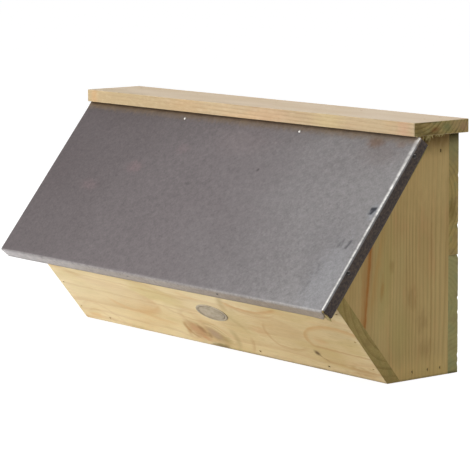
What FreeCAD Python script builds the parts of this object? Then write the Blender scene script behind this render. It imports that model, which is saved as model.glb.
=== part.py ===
import FreeCAD, Part
import math
import os
import Sketcher

# A nailed softwood nest box for swifts, hung with its back on a wall. Millimetres.
# X runs along the box, Y into the wall and Z up. The origin is on the wall plane,
# at the middle of the box and level with its underside.

sizes = {
    # Carcass
    "box_length": 448,  # over the outer faces of the two cheeks
    "board": 12,  # thickness of every board
    "back_height": 215,  # underside of the box to underside of the top board
    "lower_plank_width": 105.5,  # the upper back plank takes the rest
    "base_depth": 83.5,  # wall to the bottom front edge
    "panel_slope": 51.2,  # degrees, lower front panel from the level
    "cheek_top_depth": 45.7,  # wall to the front end of a cheek's top edge
    "rail_depth": 20,  # batten under the top board, front to back
    "rail_height": 32,
    # Top board
    "top_length": 480,
    "top_depth": 64.3,
    "top_setback": 3.7,  # its rear edge stands this far off the wall
    # Roof board and its metal sheet
    "roof_slope": 51.2,  # degrees from the level
    "roof_length": 483,
    "roof_width": 177.3,  # down the slope
    "roof_top_gap": 0.9,  # clearance under the top board
    "sheet_thickness": 0.6,
    "sheet_bend": 1.4,  # outer radius of the folds
    "fold_depth": 12.6,  # of the three folded edges, over the sheet
    "fold_snip": 10,  # slanting cut at both ends of the front fold
    # Way in for the birds, a round-ended slot through the floor
    "entrance_length": 65,
    "entrance_width": 30,
    "entrance_offset": 140,  # its middle, from the middle of the box
    "entrance_wall_distance": 42,
    # Keyholes for two wall screws, through the upper back plank
    "keyhole_spacing": 300,
    "keyhole_height": 150,
    "keyhole_entry": 10,  # diameter that passes the screw's head
    "keyhole_slot": 5,  # width that holds its neck
    "keyhole_rise": 12,  # from the entry up to the hanging place
    # Oval tag
    "tag_length": 45,
    "tag_width": 19.6,
    "tag_thickness": 0.5,
    "tag_offset": 19,  # its middle, from the middle of the box
    "tag_rise": 50.9,  # its middle, up the panel from the bottom edge
    "tag_pin_spacing": 37,
    # Flat brads that join the boards, shot in with their heads along the grain
    "brad_length": 25,
    "brad_width": 1.6,
    "brad_thickness": 1.4,
    "brad_head": 2.8,
    "brad_head_height": 1,
    "brad_point": 2.5,
    "brad_set": 0.8,  # how deep the heads are punched below the wood
    # Square tacks that hold the sheet, with round bevelled heads
    "tack_length": 10.5,
    "tack_width": 1.5,
    "tack_head": 3.6,
    "tack_crown": 2,  # flat of the head
    "tack_head_height": 1,
    "tack_point": 2,
    # Pins of the tag, made the same way
    "pin_length": 8,
    "pin_width": 1.1,
    "pin_head": 2.4,
    "pin_crown": 1.4,
    "pin_head_height": 0.6,
    "pin_point": 1.5,
    # Where the brads are
    "floor_nail_height": 7,
    "floor_nail_rear": 21.6,  # three in each cheek, by their distance from the wall
    "floor_nail_middle": 36.4,
    "floor_nail_front": 54.6,
    "panel_nail_height": 5.5,
    "panel_nail_left": 178,  # three along the panel, from the middle of the box
    "panel_nail_centre": 56,
    "panel_nail_right": 152,
    "panel_edge_nail_first": 17,  # up the panel's two ends
    "panel_edge_nail_pitch": 34,
    "roof_nail_first": 30,  # down the roof board's two ends
    "roof_nail_pitch": 50,
    "top_nail_rear": 17,  # into the cheeks, from the wall
    "top_nail_front": 36,
    "top_rail_nail_pitch": 120,
    "plank_nail_pitch": 110,  # along the floor and the rail
    "plank_floor_nail_height": 6,
    "plank_edge_margin": 20,  # from a plank's edges, into the cheeks
    "plank_rail_clear": 30,  # keeps the upper pair below the rail's own nail
    # Where the tacks are
    "face_tack_drop": 7,  # below the sheet's top edge
    "face_tack_left": 81.5,
    "face_tack_right": 87.7,
    "front_tack_left": 35,
    "front_tack_right": 98,
    "side_tack_first": 16.4,  # down the two ends
    "side_tack_second": 135.7,
    "edge_tack_depth": 3.4,  # below the roof board's upper face
}
# How many brads there are in each row.
end_nails = 3  # up each end of the lower panel, and down each end of the roof board
top_rail_nails = 3
plank_row_nails = 4
# Two points this close are one, in millimetres.
touching = 0.001

doc = FreeCAD.newDocument("swift_nest_box")
dims = doc.addObject("Spreadsheet::Sheet", "dims")
for row, (alias, value) in enumerate(sizes.items(), 1):
    dims.set(f"A{row}", alias)
    dims.set(f"B{row}", str(value))
    dims.setAlias(f"B{row}", alias)
doc.recompute()

# Lines of the cross-section, as expressions on the sheet. Depths are measured from the wall.
height = "dims.back_height"
board = "dims.board"
roof_cos = "cos(dims.roof_slope)"
roof_sin = "sin(dims.roof_slope)"
panel_cos = "cos(dims.panel_slope)"
panel_sin = "sin(dims.panel_slope)"
inner_length = "(dims.box_length - 2 * dims.board)"
cheek_middle = "(dims.box_length / 2 - dims.board / 2)"
# A symmetric cut this long clears a board that lies on either side of its sketch.
through = "(4 * dims.board)"
# Down the slope from the top board's underside to the roof board's square top end.
roof_start = (
    f"((dims.roof_top_gap + (dims.board + dims.sheet_thickness) * {roof_cos}) / {roof_sin})"
)
panel_inset = f"({board} / {panel_sin})"
slope_sum = "(1 / tan(dims.panel_slope) + 1 / tan(dims.roof_slope))"
roof_foot = f"(dims.cheek_top_depth + {height} / tan(dims.roof_slope))"
outer_knee = f"(({roof_foot} - dims.base_depth) / {slope_sum})"
inner_knee = f"(({roof_foot} - dims.base_depth + {panel_inset}) / {slope_sum})"


def number(expression):
    return float(dims.evalExpression(expression))


def panel_depth(level):
    return f"(dims.base_depth + {level} / tan(dims.panel_slope))"


def panel_inner_depth(level):
    return f"({panel_depth(level)} - {panel_inset})"


def panel_point(rise, proud="0"):
    # Y and Z of a point up the panel's outer face, or proud of it.
    y = f"-(dims.base_depth + {rise} * {panel_cos} + {proud} * {panel_sin})"
    z = f"{rise} * {panel_sin} - {proud} * {panel_cos}"
    return y, z


def roof_point(drop, proud="0"):
    # Y and Z of a point down the roof board's upper face, or proud of it.
    along = f"({roof_start} + {drop})"
    out = f"({board} + {proud})"
    y = f"-(dims.cheek_top_depth + {along} * {roof_cos} + {out} * {roof_sin})"
    z = f"{height} - {along} * {roof_sin} + {out} * {roof_cos}"
    return y, z


def origin_plane(body, role):
    return next(f for f in body.Origin.OriginFeatures if f.Role == role)


def add_sketch(body, name, role):
    sketch = body.newObject("Sketcher::SketchObject", f"{body.Name}_{name}")
    sketch.AttachmentSupport = (origin_plane(body, role), [""])
    sketch.MapMode = "FlatFace"
    return sketch


def pin_down(sketch, geometry, end, across, up):
    # Ties one end or centre of a sketch line to two expressions, on its own side of each axis.
    for kind, axis, expression in (("DistanceX", -2, across), ("DistanceY", -1, up)):
        value = number(expression)
        if abs(value) < touching:
            sketch.addConstraint(Sketcher.Constraint("PointOnObject", geometry, end, axis))
            continue
        if value > 0:
            ends = (-1, 1, geometry, end)
        else:
            ends = (geometry, end, -1, 1)
            expression = f"-({expression})"
        index = sketch.addConstraint(Sketcher.Constraint(kind, *ends, abs(value)))
        sketch.setExpression(f"Constraints[{index}]", expression)


def add_outline(sketch, corners):
    # A closed outline through the corners, each a pair of expressions.
    points = [FreeCAD.Vector(number(across), number(up), 0) for across, up in corners]
    count = len(corners)
    first = sketch.GeometryCount
    for i in range(count):
        sketch.addGeometry(Part.LineSegment(points[i], points[(i + 1) % count]))
    for i in range(count):
        following = first + (i + 1) % count
        sketch.addConstraint(Sketcher.Constraint("Coincident", first + i, 2, following, 1))
    for i, (across, up) in enumerate(corners):
        pin_down(sketch, first + i, 1, across, up)


def add_slot(sketch, across, up, run, rise, radius):
    # A round-ended slot from one end's centre to the other, run across and rise up from it.
    start = FreeCAD.Vector(number(across), number(up), 0)
    end = start + FreeCAD.Vector(number(run), number(rise), 0)
    heading = (end - start).getAngle(FreeCAD.Vector(1, 0, 0))
    side = FreeCAD.Vector(0, 0, 1).cross(end - start).normalize() * number(radius)
    quarter = math.pi / 2
    normal = FreeCAD.Vector(0, 0, 1)
    first = sketch.GeometryCount
    for centre, turn in ((start, heading + quarter), (end, heading - quarter)):
        circle = Part.Circle(centre, normal, number(radius))
        sketch.addGeometry(Part.ArcOfCircle(circle, turn, turn + 2 * quarter))
    sketch.addGeometry(Part.LineSegment(start - side, end - side))
    sketch.addGeometry(Part.LineSegment(end + side, start + side))
    for arc, arc_end, line, line_end in ((0, 2, 2, 1), (1, 1, 2, 2), (1, 2, 3, 1), (0, 1, 3, 2)):
        ends = (first + arc, arc_end, first + line, line_end)
        sketch.addConstraint(Sketcher.Constraint("Tangent", *ends))
    index = sketch.addConstraint(Sketcher.Constraint("Radius", first, number(radius)))
    sketch.setExpression(f"Constraints[{index}]", radius)
    pin_down(sketch, first, 3, across, up)
    pin_down(sketch, first + 1, 3, f"{across} + {run}", f"{up} + {rise}")


def add_pad(body, sketch, length, side_type="Symmetric"):
    pad = body.newObject("PartDesign::Pad", f"{body.Name}_pad")
    pad.Profile = sketch
    pad.SideType = side_type
    pad.setExpression("Length", length)
    doc.recompute()
    return pad


def add_pocket(body, sketch, length, side_type="One side"):
    before = body.Shape.Volume
    pocket = body.newObject("PartDesign::Pocket", f"{sketch.Name}_cut")
    pocket.Profile = sketch
    pocket.SideType = side_type
    pocket.setExpression("Length", length)
    doc.recompute()
    if body.Shape.Volume > before - touching:
        raise RuntimeError(f"{sketch.Name} cuts nothing")
    return pocket


def place(item, y, z, turn=None, x="0"):
    # turn is an angle about X in degrees, as an expression.
    if turn is not None:
        item.Placement = FreeCAD.Placement(
            FreeCAD.Vector(), FreeCAD.Rotation(FreeCAD.Vector(1, 0, 0), number(turn))
        )
        item.setExpression("Placement.Rotation.Angle", turn)
    for axis, expression in (("x", x), ("y", y), ("z", z)):
        item.setExpression(f"Placement.Base.{axis}", expression)


def board_blank(name, corners, length):
    # A board cut to a cross-section in Y and Z, before it is nailed.
    body = doc.addObject("PartDesign::Body", f"{name}_blank")
    sketch = add_sketch(body, "section", "YZ_Plane")
    add_outline(sketch, corners)
    add_pad(body, sketch, length)
    return body


def section(*corners):
    # Corners given as depth from the wall and height.
    return [(f"-({depth})", level) for depth, level in corners]


def lower_back_plank():
    width = "dims.lower_plank_width"
    outline = section(("0", "0"), (board, "0"), (board, width), ("0", width))
    return board_blank("lower_back_plank", outline, "dims.box_length")


def upper_back_plank():
    width = "dims.lower_plank_width"
    outline = section(("0", width), (board, width), (board, height), ("0", height))
    body = board_blank("upper_back_plank", outline, "dims.box_length")
    for side, sign in (("left", "-"), ("right", "")):
        across = f"{sign}dims.keyhole_spacing / 2"
        entry = add_sketch(body, f"{side}_entry", "XZ_Plane")
        radius = "dims.keyhole_entry / 2"
        centre = FreeCAD.Vector(number(across), number("dims.keyhole_height"), 0)
        entry.addGeometry(Part.Circle(centre, FreeCAD.Vector(0, 0, 1), number(radius)))
        index = entry.addConstraint(Sketcher.Constraint("Radius", 0, number(radius)))
        entry.setExpression(f"Constraints[{index}]", radius)
        pin_down(entry, 0, 3, across, "dims.keyhole_height")
        add_pocket(body, entry, through, "Symmetric")
        neck = add_sketch(body, f"{side}_neck", "XZ_Plane")
        add_slot(
            neck, across, "dims.keyhole_height", "0", "dims.keyhole_rise", "dims.keyhole_slot / 2"
        )
        add_pocket(body, neck, through, "Symmetric")
    return body


def cheek(name, sign):
    outline = section(
        (board, "0"),
        (board, height),
        ("dims.cheek_top_depth", height),
        (panel_inner_depth(inner_knee), inner_knee),
        (panel_inner_depth("0"), "0"),
    )
    body = board_blank(name, outline, board)
    body.setExpression("Placement.Base.x", f"{sign}{cheek_middle}")
    return body


def floor_board():
    outline = section(
        (board, "0"),
        (board, board),
        (panel_inner_depth(board), board),
        (panel_inner_depth("0"), "0"),
    )
    body = board_blank("floor_board", outline, inner_length)
    entrance = add_sketch(body, "entrance", "XY_Plane")
    run = "(dims.entrance_length - dims.entrance_width)"
    start = f"dims.entrance_offset - {run} / 2"
    across = "-dims.entrance_wall_distance"
    add_slot(entrance, start, across, run, "0", "dims.entrance_width / 2")
    add_pocket(body, entrance, through, "Symmetric")
    return body


def lower_front_panel():
    outline = section(
        ("dims.base_depth", "0"),
        (panel_depth(outer_knee), outer_knee),
        (panel_inner_depth(inner_knee), inner_knee),
        (panel_inner_depth("0"), "0"),
    )
    return board_blank("lower_front_panel", outline, "dims.box_length")


def top_rail():
    front = f"{board} + dims.rail_depth"
    foot = f"{height} - dims.rail_height"
    outline = section((board, foot), (board, height), (front, height), (front, foot))
    return board_blank("top_rail", outline, inner_length)


def top_board():
    rear = "dims.top_setback"
    front = "dims.top_setback + dims.top_depth"
    upper = f"{height} + {board}"
    outline = section((rear, height), (rear, upper), (front, upper), (front, height))
    return board_blank("top_board", outline, "dims.top_length")


def bend_edges(shape, level, half_length, lowest):
    # The two ends' and the lower edge of a roof layer, at one level of its own frame.
    names = []
    for i, edge in enumerate(shape.Edges, 1):
        middle = edge.CenterOfMass
        at_end = abs(abs(middle.x) - half_length) < touching
        at_foot = abs(middle.y - lowest) < touching
        if abs(edge.BoundBox.ZMin - level) + abs(edge.BoundBox.ZMax - level) < touching:
            if at_end or at_foot:
                names.append(f"Edge{i}")
    return names


def add_bend(body, base, name, edges, radius):
    bend = body.newObject("PartDesign::Fillet", f"{body.Name}_{name}")
    bend.Base = (base, edges)
    bend.setExpression("Radius", radius)
    doc.recompute()
    return bend


def roof_rectangle(body, name, half_length, top, foot):
    sketch = add_sketch(body, name, "XY_Plane")
    add_outline(
        sketch,
        [
            (f"-({half_length})", foot),
            (half_length, foot),
            (half_length, top),
            (f"-({half_length})", top),
        ],
    )
    return sketch


def roof_board():
    # In its own frame the upper face is at Z 0 and the top end at Y 0.
    body = doc.addObject("PartDesign::Body", "roof_board_blank")
    half_length = "dims.roof_length / 2"
    sketch = roof_rectangle(body, "face", half_length, "0", "-dims.roof_width")
    pad = add_pad(body, sketch, board, "One side")
    pad.Reversed = True
    doc.recompute()
    edges = bend_edges(pad.Shape, 0, number(half_length), number("-dims.roof_width"))
    add_bend(body, pad, "rounding", edges, "dims.sheet_bend - dims.sheet_thickness")
    place(body, *roof_point("0"), "dims.roof_slope")
    return body


def roof_sheet():
    # Folded over both ends and the lower edge of the roof board, in the same frame.
    body = doc.addObject("PartDesign::Body", "roof_sheet_blank")
    inner_half = "dims.roof_length / 2"
    outer_half = "(dims.roof_length / 2 + dims.sheet_thickness)"
    outer_foot = "-(dims.roof_width + dims.sheet_thickness)"
    hem = "(dims.sheet_thickness - dims.fold_depth)"

    sketch = roof_rectangle(body, "outside", outer_half, "0", outer_foot)
    sketch.setExpression("AttachmentOffset.Base.z", "dims.sheet_thickness")
    pad = add_pad(body, sketch, "dims.fold_depth", "One side")
    pad.Reversed = True
    doc.recompute()
    level = number("dims.sheet_thickness")
    edges = bend_edges(pad.Shape, level, number(outer_half), number(outer_foot))
    add_bend(body, pad, "outer_bend", edges, "dims.sheet_bend")

    hollow = roof_rectangle(body, "inside", inner_half, board, "-dims.roof_width")
    pocket = add_pocket(body, hollow, "dims.fold_depth")
    edges = bend_edges(pocket.Shape, 0, number(inner_half), number("-dims.roof_width"))
    add_bend(body, pocket, "inner_bend", edges, "dims.sheet_bend - dims.sheet_thickness")

    snips = add_sketch(body, "corner_snips", "XZ_Plane")
    snips.setExpression("AttachmentOffset.Base.z", "dims.roof_width + dims.sheet_thickness")
    shoulder = f"({hem} + dims.fold_snip)"
    for sign in ("-", ""):
        add_outline(
            snips,
            [
                (f"{sign}({inner_half})", shoulder),
                (f"{sign}{outer_half}", shoulder),
                (f"{sign}{outer_half}", hem),
                (f"{sign}({inner_half} - dims.fold_snip)", hem),
            ],
        )
    add_pocket(body, snips, "dims.sheet_thickness")
    place(body, *roof_point("0"), "dims.roof_slope")
    return body


def oval_tag():
    oval = doc.addObject("Part::Ellipse", "oval_tag_outline")
    oval.setExpression("MajorRadius", "dims.tag_length / 2")
    oval.setExpression("MinorRadius", "dims.tag_width / 2")
    plate = doc.addObject("Part::Extrusion", "oval_tag_blank")
    plate.Base = oval
    plate.DirMode = "Custom"
    plate.Dir = FreeCAD.Vector(0, 0, 1)
    plate.Solid = True
    plate.setExpression("LengthFwd", "dims.tag_thickness")
    place(plate, *panel_point("dims.tag_rise"), "180 - dims.panel_slope", "dims.tag_offset")
    doc.recompute()
    return plate


def add_shank(body, name, upper_corners):
    # A flat fastener in X and Z with its point down, whose head or top starts the outline's right half.
    width = f"dims.{name}_width / 2"
    tip = f"-dims.{name}_length"
    shoulder = f"({tip} + dims.{name}_point)"
    right = [*upper_corners, (width, "0"), (width, shoulder)]
    left = [(f"-({across})", up) for across, up in reversed(right)]
    sketch = add_sketch(body, "profile", "XZ_Plane")
    add_outline(sketch, [*right, ("0", tip), *left])
    return sketch


def brad_shape(name, crown):
    # The underside of the head is at Z 0 and its upper face at the crown.
    body = doc.addObject("PartDesign::Body", name)
    head = "dims.brad_head / 2"
    sketch = add_shank(body, "brad", [(head, crown), (head, "0")])
    add_pad(body, sketch, "dims.brad_thickness")
    return body


def tack_shape(name):
    # A square shank under a round head whose rim is at Z 0, by the sizes that start with its name.
    body = doc.addObject("PartDesign::Body", name)
    crown = f"dims.{name}_head_height"
    bedded = f"{crown} / 2"
    sketch = add_shank(body, name, [(f"dims.{name}_width / 2", bedded)])
    add_pad(body, sketch, f"dims.{name}_width")
    head = add_sketch(body, "head", "XZ_Plane")
    corners = [("0", "0"), (f"dims.{name}_head / 2", "0"), (f"dims.{name}_crown / 2", crown), ("0", crown)]
    add_outline(head, corners)
    spin = body.newObject("PartDesign::Revolution", f"{name}_spin")
    spin.Profile = head
    spin.ReferenceAxis = (head, ["V_Axis"])
    spin.Angle = 360
    doc.recompute()
    return body


def link_to(shape, name):
    link = doc.addObject("App::Link", name)
    link.LinkedObject = shape
    return link


def gather(name, items):
    group = doc.addObject("Part::Compound", name)
    group.Links = items
    return group


def face_along_x(link, sign, x, y, z):
    # The head looks out along +X, or along -X where the sign is a minus.
    turn = FreeCAD.Rotation(FreeCAD.Vector(0, 1, 0), float(f"{sign}90"))
    link.Placement = FreeCAD.Placement(FreeCAD.Vector(), turn)
    for axis, expression in (("x", x), ("y", y), ("z", z)):
        link.setExpression(f"Placement.Base.{axis}", expression)


def nail_line(cover):
    # Middle of the strip where a board of the named length lies over a cheek.
    return f"(({inner_length} + min(dims.box_length; dims.{cover})) / 4)"


def spread(count):
    # Steps of one, centred on zero.
    return [i - (count - 1) / 2 for i in range(count)]


brad = brad_shape("brad", "dims.brad_head_height")
# The hole is the brad's own shape with the punch's way above it, long enough for a slanting face.
brad_hole = brad_shape("brad_hole", "(dims.brad_head_height + 2 * dims.brad_set + dims.brad_head)")
tack = tack_shape("tack")
tag_pin = tack_shape("pin")
groups = {}
holes = []
# How far below the wood's surface the underside of a brad's head lies.
sunk = "(dims.brad_set + dims.brad_head_height)"
sides = {"left": "-", "right": ""}


def drive(group, placing, *where):
    # One brad, with its hole. placing is place or face_along_x.
    links = groups.setdefault(group, [])
    name = f"{group}_{len(links) + 1}"
    nail = link_to(brad, name)
    hole = link_to(brad_hole, f"{name}_hole")
    placing(nail, *where)
    placing(hole, *where)
    links.append(nail)
    holes.append(hole)


def fix(group, shape, placing, *where):
    # One tack or pin, which is also the tool for its own hole.
    links = groups.setdefault(group, [])
    nail = link_to(shape, f"{group}_{len(links) + 1}")
    placing(nail, *where)
    links.append(nail)


def cheek_brads():
    for side, sign in sides.items():
        x = f"{sign}(dims.box_length / 2 - {sunk})"
        for where in ("rear", "middle", "front"):
            y = f"-dims.floor_nail_{where}"
            drive(f"{side}_floor_nails", face_along_x, sign, x, y, "dims.floor_nail_height")
        y = f"-({board} + dims.rail_depth / 2)"
        drive(f"{side}_rail_nail", face_along_x, sign, x, y, f"{height} - dims.rail_height / 2")


def panel_brads():
    level = "dims.panel_nail_height"
    # Driven level into the floor's front edge, deep enough to bury the head in the slope.
    depth = f"({sunk} + dims.brad_thickness / 2 / tan(dims.panel_slope))"
    y = f"-({panel_depth(level)} - {depth})"
    for where, sign in (("left", "-"), ("centre", ""), ("right", "")):
        drive("panel_floor_nails", place, y, level, "90", f"{sign}dims.panel_nail_{where}")
    for sign in sides.values():
        for i in range(end_nails):
            rise = f"(dims.panel_edge_nail_first + {i} * dims.panel_edge_nail_pitch)"
            where = panel_point(rise, f"(-{sunk})")
            turn = "180 - dims.panel_slope"
            drive("panel_cheek_nails", place, *where, turn, f"{sign}{cheek_middle}")


def roof_brads():
    for sign in sides.values():
        for i in range(end_nails):
            drop = f"(dims.roof_nail_first + {i} * dims.roof_nail_pitch)"
            where = roof_point(drop, f"(-{sunk})")
            drive("roof_board_nails", place, *where, "dims.roof_slope", f"{sign}{nail_line('roof_length')}")


def top_brads():
    z = f"{height} + {board} - {sunk}"
    for sign in sides.values():
        for where in ("rear", "front"):
            y = f"-dims.top_nail_{where}"
            drive("top_board_nails", place, y, z, None, f"{sign}{nail_line('top_length')}")
    y = f"-({board} + dims.rail_depth / 2)"
    for step in spread(top_rail_nails):
        drive("top_board_nails", place, y, z, None, f"{step} * dims.top_rail_nail_pitch")


def plank_brads():
    y = f"-{sunk}"
    margin = "dims.plank_edge_margin"
    seam = "dims.lower_plank_width"
    edges = {
        "lower_plank_nails": (f"{board} + {margin}", f"{seam} - {margin}"),
        "upper_plank_nails": (f"{seam} + {margin}", f"{height} - dims.plank_rail_clear"),
    }
    rows = {
        "lower_plank_nails": "dims.plank_floor_nail_height",
        "upper_plank_nails": f"{height} - dims.rail_height / 2",
    }
    for group, levels in edges.items():
        for sign in sides.values():
            for level in levels:
                drive(group, place, y, level, "-90", f"{sign}{cheek_middle}")
        for step in spread(plank_row_nails):
            drive(group, place, y, rows[group], "-90", f"{step} * dims.plank_nail_pitch")


def sheet_tacks():
    skin = "dims.sheet_thickness"
    for side, sign in sides.items():
        where = roof_point("dims.face_tack_drop", skin)
        x = f"{sign}dims.face_tack_{side}"
        fix("sheet_top_tacks", tack, place, *where, "dims.roof_slope", x)
        foot = f"(dims.roof_width + {skin})"
        where = roof_point(foot, "(-dims.edge_tack_depth)")
        x = f"{sign}dims.front_tack_{side}"
        fix("sheet_front_tacks", tack, place, *where, "90 + dims.roof_slope", x)
        x = f"{sign}(dims.roof_length / 2 + {skin})"
        for order in ("first", "second"):
            y, z = roof_point(f"dims.side_tack_{order}", "(-dims.edge_tack_depth)")
            fix(f"sheet_{side}_tacks", tack, face_along_x, sign, x, y, z)


def tag_pins():
    where = panel_point("dims.tag_rise", "dims.tag_thickness")
    for sign in "-+":
        x = f"dims.tag_offset {sign} dims.tag_pin_spacing / 2"
        fix("tag_pins", tag_pin, place, *where, "180 - dims.panel_slope", x)


cheek_brads()
panel_brads()
roof_brads()
top_brads()
plank_brads()
sheet_tacks()
tag_pins()
nails = {name: gather(name, links) for name, links in groups.items()}
tack_names = [name for name in groups if name.startswith("sheet_")]
sheet_holes = gather("sheet_holes", [nails[name] for name in tack_names])
wood_holes = gather("wood_holes", [*holes, sheet_holes, nails["tag_pins"]])


def nailed(blank, tool):
    # The finished piece: a blank with the holes of every fastener that passes through it.
    name = blank.Name.removesuffix("_blank")
    piece = doc.addObject("Part::Cut", name)
    piece.Base = blank
    piece.Tool = tool
    return piece


boards = [
    lower_back_plank(),
    upper_back_plank(),
    cheek("left_cheek", "-"),
    cheek("right_cheek", ""),
    floor_board(),
    lower_front_panel(),
    top_rail(),
    top_board(),
    roof_board(),
]
pieces = [nailed(blank, wood_holes) for blank in boards]
pieces.append(nailed(roof_sheet(), sheet_holes))
pieces.append(nailed(oval_tag(), nails["tag_pins"]))
pieces.extend(nails.values())
doc.recompute()

for item in doc.Objects:
    if {"Invalid", "Error"} & set(item.State):
        raise RuntimeError(f"{item.Name} failed: {item.State}")
for piece in pieces:
    if piece.Shape.isNull() or not piece.Shape.isValid():
        raise RuntimeError(f"{piece.Label} has no valid shape")

os.makedirs("parts", exist_ok=True)
for piece in pieces:
    piece.Shape.exportStep(f"parts/{piece.Label}.step")
    print(f"{piece.Label}: {len(piece.Shape.Solids)} solids, {piece.Shape.Volume:.1f} mm3")
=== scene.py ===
import math
import random

import bmesh
import bpy
from mathutils import Matrix, Vector, noise


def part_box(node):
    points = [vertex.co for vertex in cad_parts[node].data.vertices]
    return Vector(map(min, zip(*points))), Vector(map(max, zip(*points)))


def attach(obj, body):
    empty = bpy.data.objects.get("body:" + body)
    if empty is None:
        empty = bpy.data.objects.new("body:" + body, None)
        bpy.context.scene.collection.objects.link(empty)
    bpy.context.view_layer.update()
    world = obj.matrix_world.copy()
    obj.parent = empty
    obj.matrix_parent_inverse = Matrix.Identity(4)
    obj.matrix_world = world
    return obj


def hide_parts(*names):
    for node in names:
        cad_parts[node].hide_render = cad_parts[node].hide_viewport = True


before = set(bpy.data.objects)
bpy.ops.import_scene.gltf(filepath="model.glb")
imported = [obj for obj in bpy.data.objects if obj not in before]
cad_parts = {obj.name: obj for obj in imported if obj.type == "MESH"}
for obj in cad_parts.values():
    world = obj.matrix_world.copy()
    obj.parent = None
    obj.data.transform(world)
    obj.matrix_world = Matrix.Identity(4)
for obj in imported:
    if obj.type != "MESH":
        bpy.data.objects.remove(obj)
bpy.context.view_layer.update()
scene = bpy.context.scene
scene.view_settings.view_transform = "Standard"
mm = 0.001
toMillimetres = (1000, 1000, 1000)


def paint(red, green, blue):  # a screen colour, 0 to 255, as the linear colour that shaders take
    def linear(level):
        level = level / 255
        return level / 12.92 if level <= 0.04045 else ((level + 0.055) / 1.055) ** 2.4
    return (linear(red), linear(green), linear(blue), 1)


class Wire:  # one socket of a node tree, so that shader maths reads as Python
    def __init__(self, tree, socket):
        self.tree = tree
        self.socket = socket

    def node(self, kind, settings=None, values=None, output=0):
        made = self.tree.nodes.new("ShaderNode" + kind)
        for name, value in (settings or {}).items():
            setattr(made, name, value)
        for name, value in (values or {}).items():
            if isinstance(value, Wire):
                self.tree.links.new(value.socket, made.inputs[name])
            else:
                made.inputs[name].default_value = value
        return Wire(self.tree, made.outputs[output])

    def reckon(self, operation, *terms):
        return self.node("Math", {"operation": operation}, dict(enumerate(terms)))

    def __add__(self, other):
        return self.reckon("ADD", self, other)

    def __radd__(self, other):
        return self.reckon("ADD", other, self)

    def __sub__(self, other):
        return self.reckon("SUBTRACT", self, other)

    def __rsub__(self, other):
        return self.reckon("SUBTRACT", other, self)

    def __mul__(self, other):
        return self.reckon("MULTIPLY", self, other)

    def __rmul__(self, other):
        return self.reckon("MULTIPLY", other, self)

    def __truediv__(self, other):
        return self.reckon("DIVIDE", self, other)

    def __pow__(self, other):
        return self.reckon("POWER", self, other)

    def do(self, operation, *others):  # a Math operation that has no sign in Python, such as FLOOR
        return self.reckon(operation, self, *others)

    def step(self, low, high):  # eases from 0 at low to 1 at high
        values = {"Value": self, "From Min": low, "From Max": high}
        return self.node("MapRange", {"interpolation_type": "SMOOTHSTEP"}, values)

    def scaled(self, factors):
        return self.node("VectorMath", {"operation": "MULTIPLY"}, {0: self, 1: factors})

    def shifted(self, offset):
        return self.node("VectorMath", {"operation": "ADD"}, {0: self, 1: offset})

    def axes(self):
        made = self.tree.nodes.new("ShaderNodeSeparateXYZ")
        self.tree.links.new(self.socket, made.inputs[0])
        return [Wire(self.tree, socket) for socket in made.outputs]

    def mix(self, amount, other, blend="MIX"):  # this colour, with another or a screen colour over it
        over = paint(*other) if isinstance(other, tuple) else other
        return self.node("Mix", {"data_type": "RGBA", "blend_type": blend}, {0: amount, 6: self, 7: over}, 2)

    def between(self, first, second):  # one screen colour where this value is 0, the other where it is 1
        return self.node("Mix", {"data_type": "RGBA"}, {0: self, 6: paint(*first), 7: paint(*second)}, 2)

    def carried(self, name):  # a value that the mesh's points carry
        return self.node("Attribute", {"attribute_name": name}, None, "Fac")

    def speckle(self, detail=2, roughness=0.5):  # noise at a place whose scale is already set
        values = {"Vector": self, "Scale": 1, "Detail": detail, "Roughness": roughness}
        return self.node("TexNoise", None, values)


def newFinish(name, fixed):
    material = bpy.data.materials.new(name)
    material.use_nodes = True
    tree = material.node_tree
    shader = tree.nodes["Principled BSDF"]
    for socket, value in fixed.items():
        shader.inputs[socket].default_value = value
    return material, Wire(tree, shader.outputs[0])


def feed(material, links, height, depth):  # links a finish's wires to its shader, with bumps of that height
    tree = material.node_tree
    shader = tree.nodes["Principled BSDF"]
    relief = height.node("Bump", None, {"Strength": 1, "Distance": depth, "Height": height})
    for socket, wire in {**links, "Normal": relief}.items():
        tree.links.new(wire.socket, shader.inputs[socket])
    return material


def spotOn(start, place):  # where a point is in a board's own frame, in millimetres
    point = start.node("TexCoord", output="Object").shifted(-place.translation).scaled(toMillimetres)
    parts = {}
    for index, axis in enumerate(place.to_3x3().transposed()):
        parts[index] = start.node("VectorMath", {"operation": "DOT_PRODUCT"}, {0: point, 1: axis}, "Value")
    return start.node("CombineXYZ", None, parts)


def blot(at, size, tone, strength, turn=0, ragged=0.5, solid=0.1):  # a stain, or a patch of painted shade or light, in a board's own frame
    return {"at": at, "size": size, "tone": tone, "strength": strength, "turn": turn, "ragged": ragged,
            "solid": solid}


def vein(along, points, wide, strength, tone=None, side=1, soft=7, sharp=0.4):  # one line of the grain
    return {"along": along, "points": points, "wide": wide, "strength": strength, "tone": tone, "side": side,
            "soft": soft, "sharp": sharp}


def knotAt(at, size, push, strength, rim, core, turn=0, solid=0.6):
    return {"at": at, "size": size, "push": push, "strength": strength, "rim": rim, "core": core,
            "turn": turn, "solid": solid}


def around(x, y, mark):  # 0 at a mark's middle, 1 at its rim
    turn = math.radians(mark.get("turn", 0))
    along = (x - mark["at"][0]) * math.cos(turn) + (y - mark["at"][1]) * math.sin(turn)
    aside = (y - mark["at"][1]) * math.cos(turn) - (x - mark["at"][0]) * math.sin(turn)
    along = along / mark["size"][0]
    aside = aside / mark["size"][1]
    return (along * along + aside * aside).do("SQRT"), aside


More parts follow.
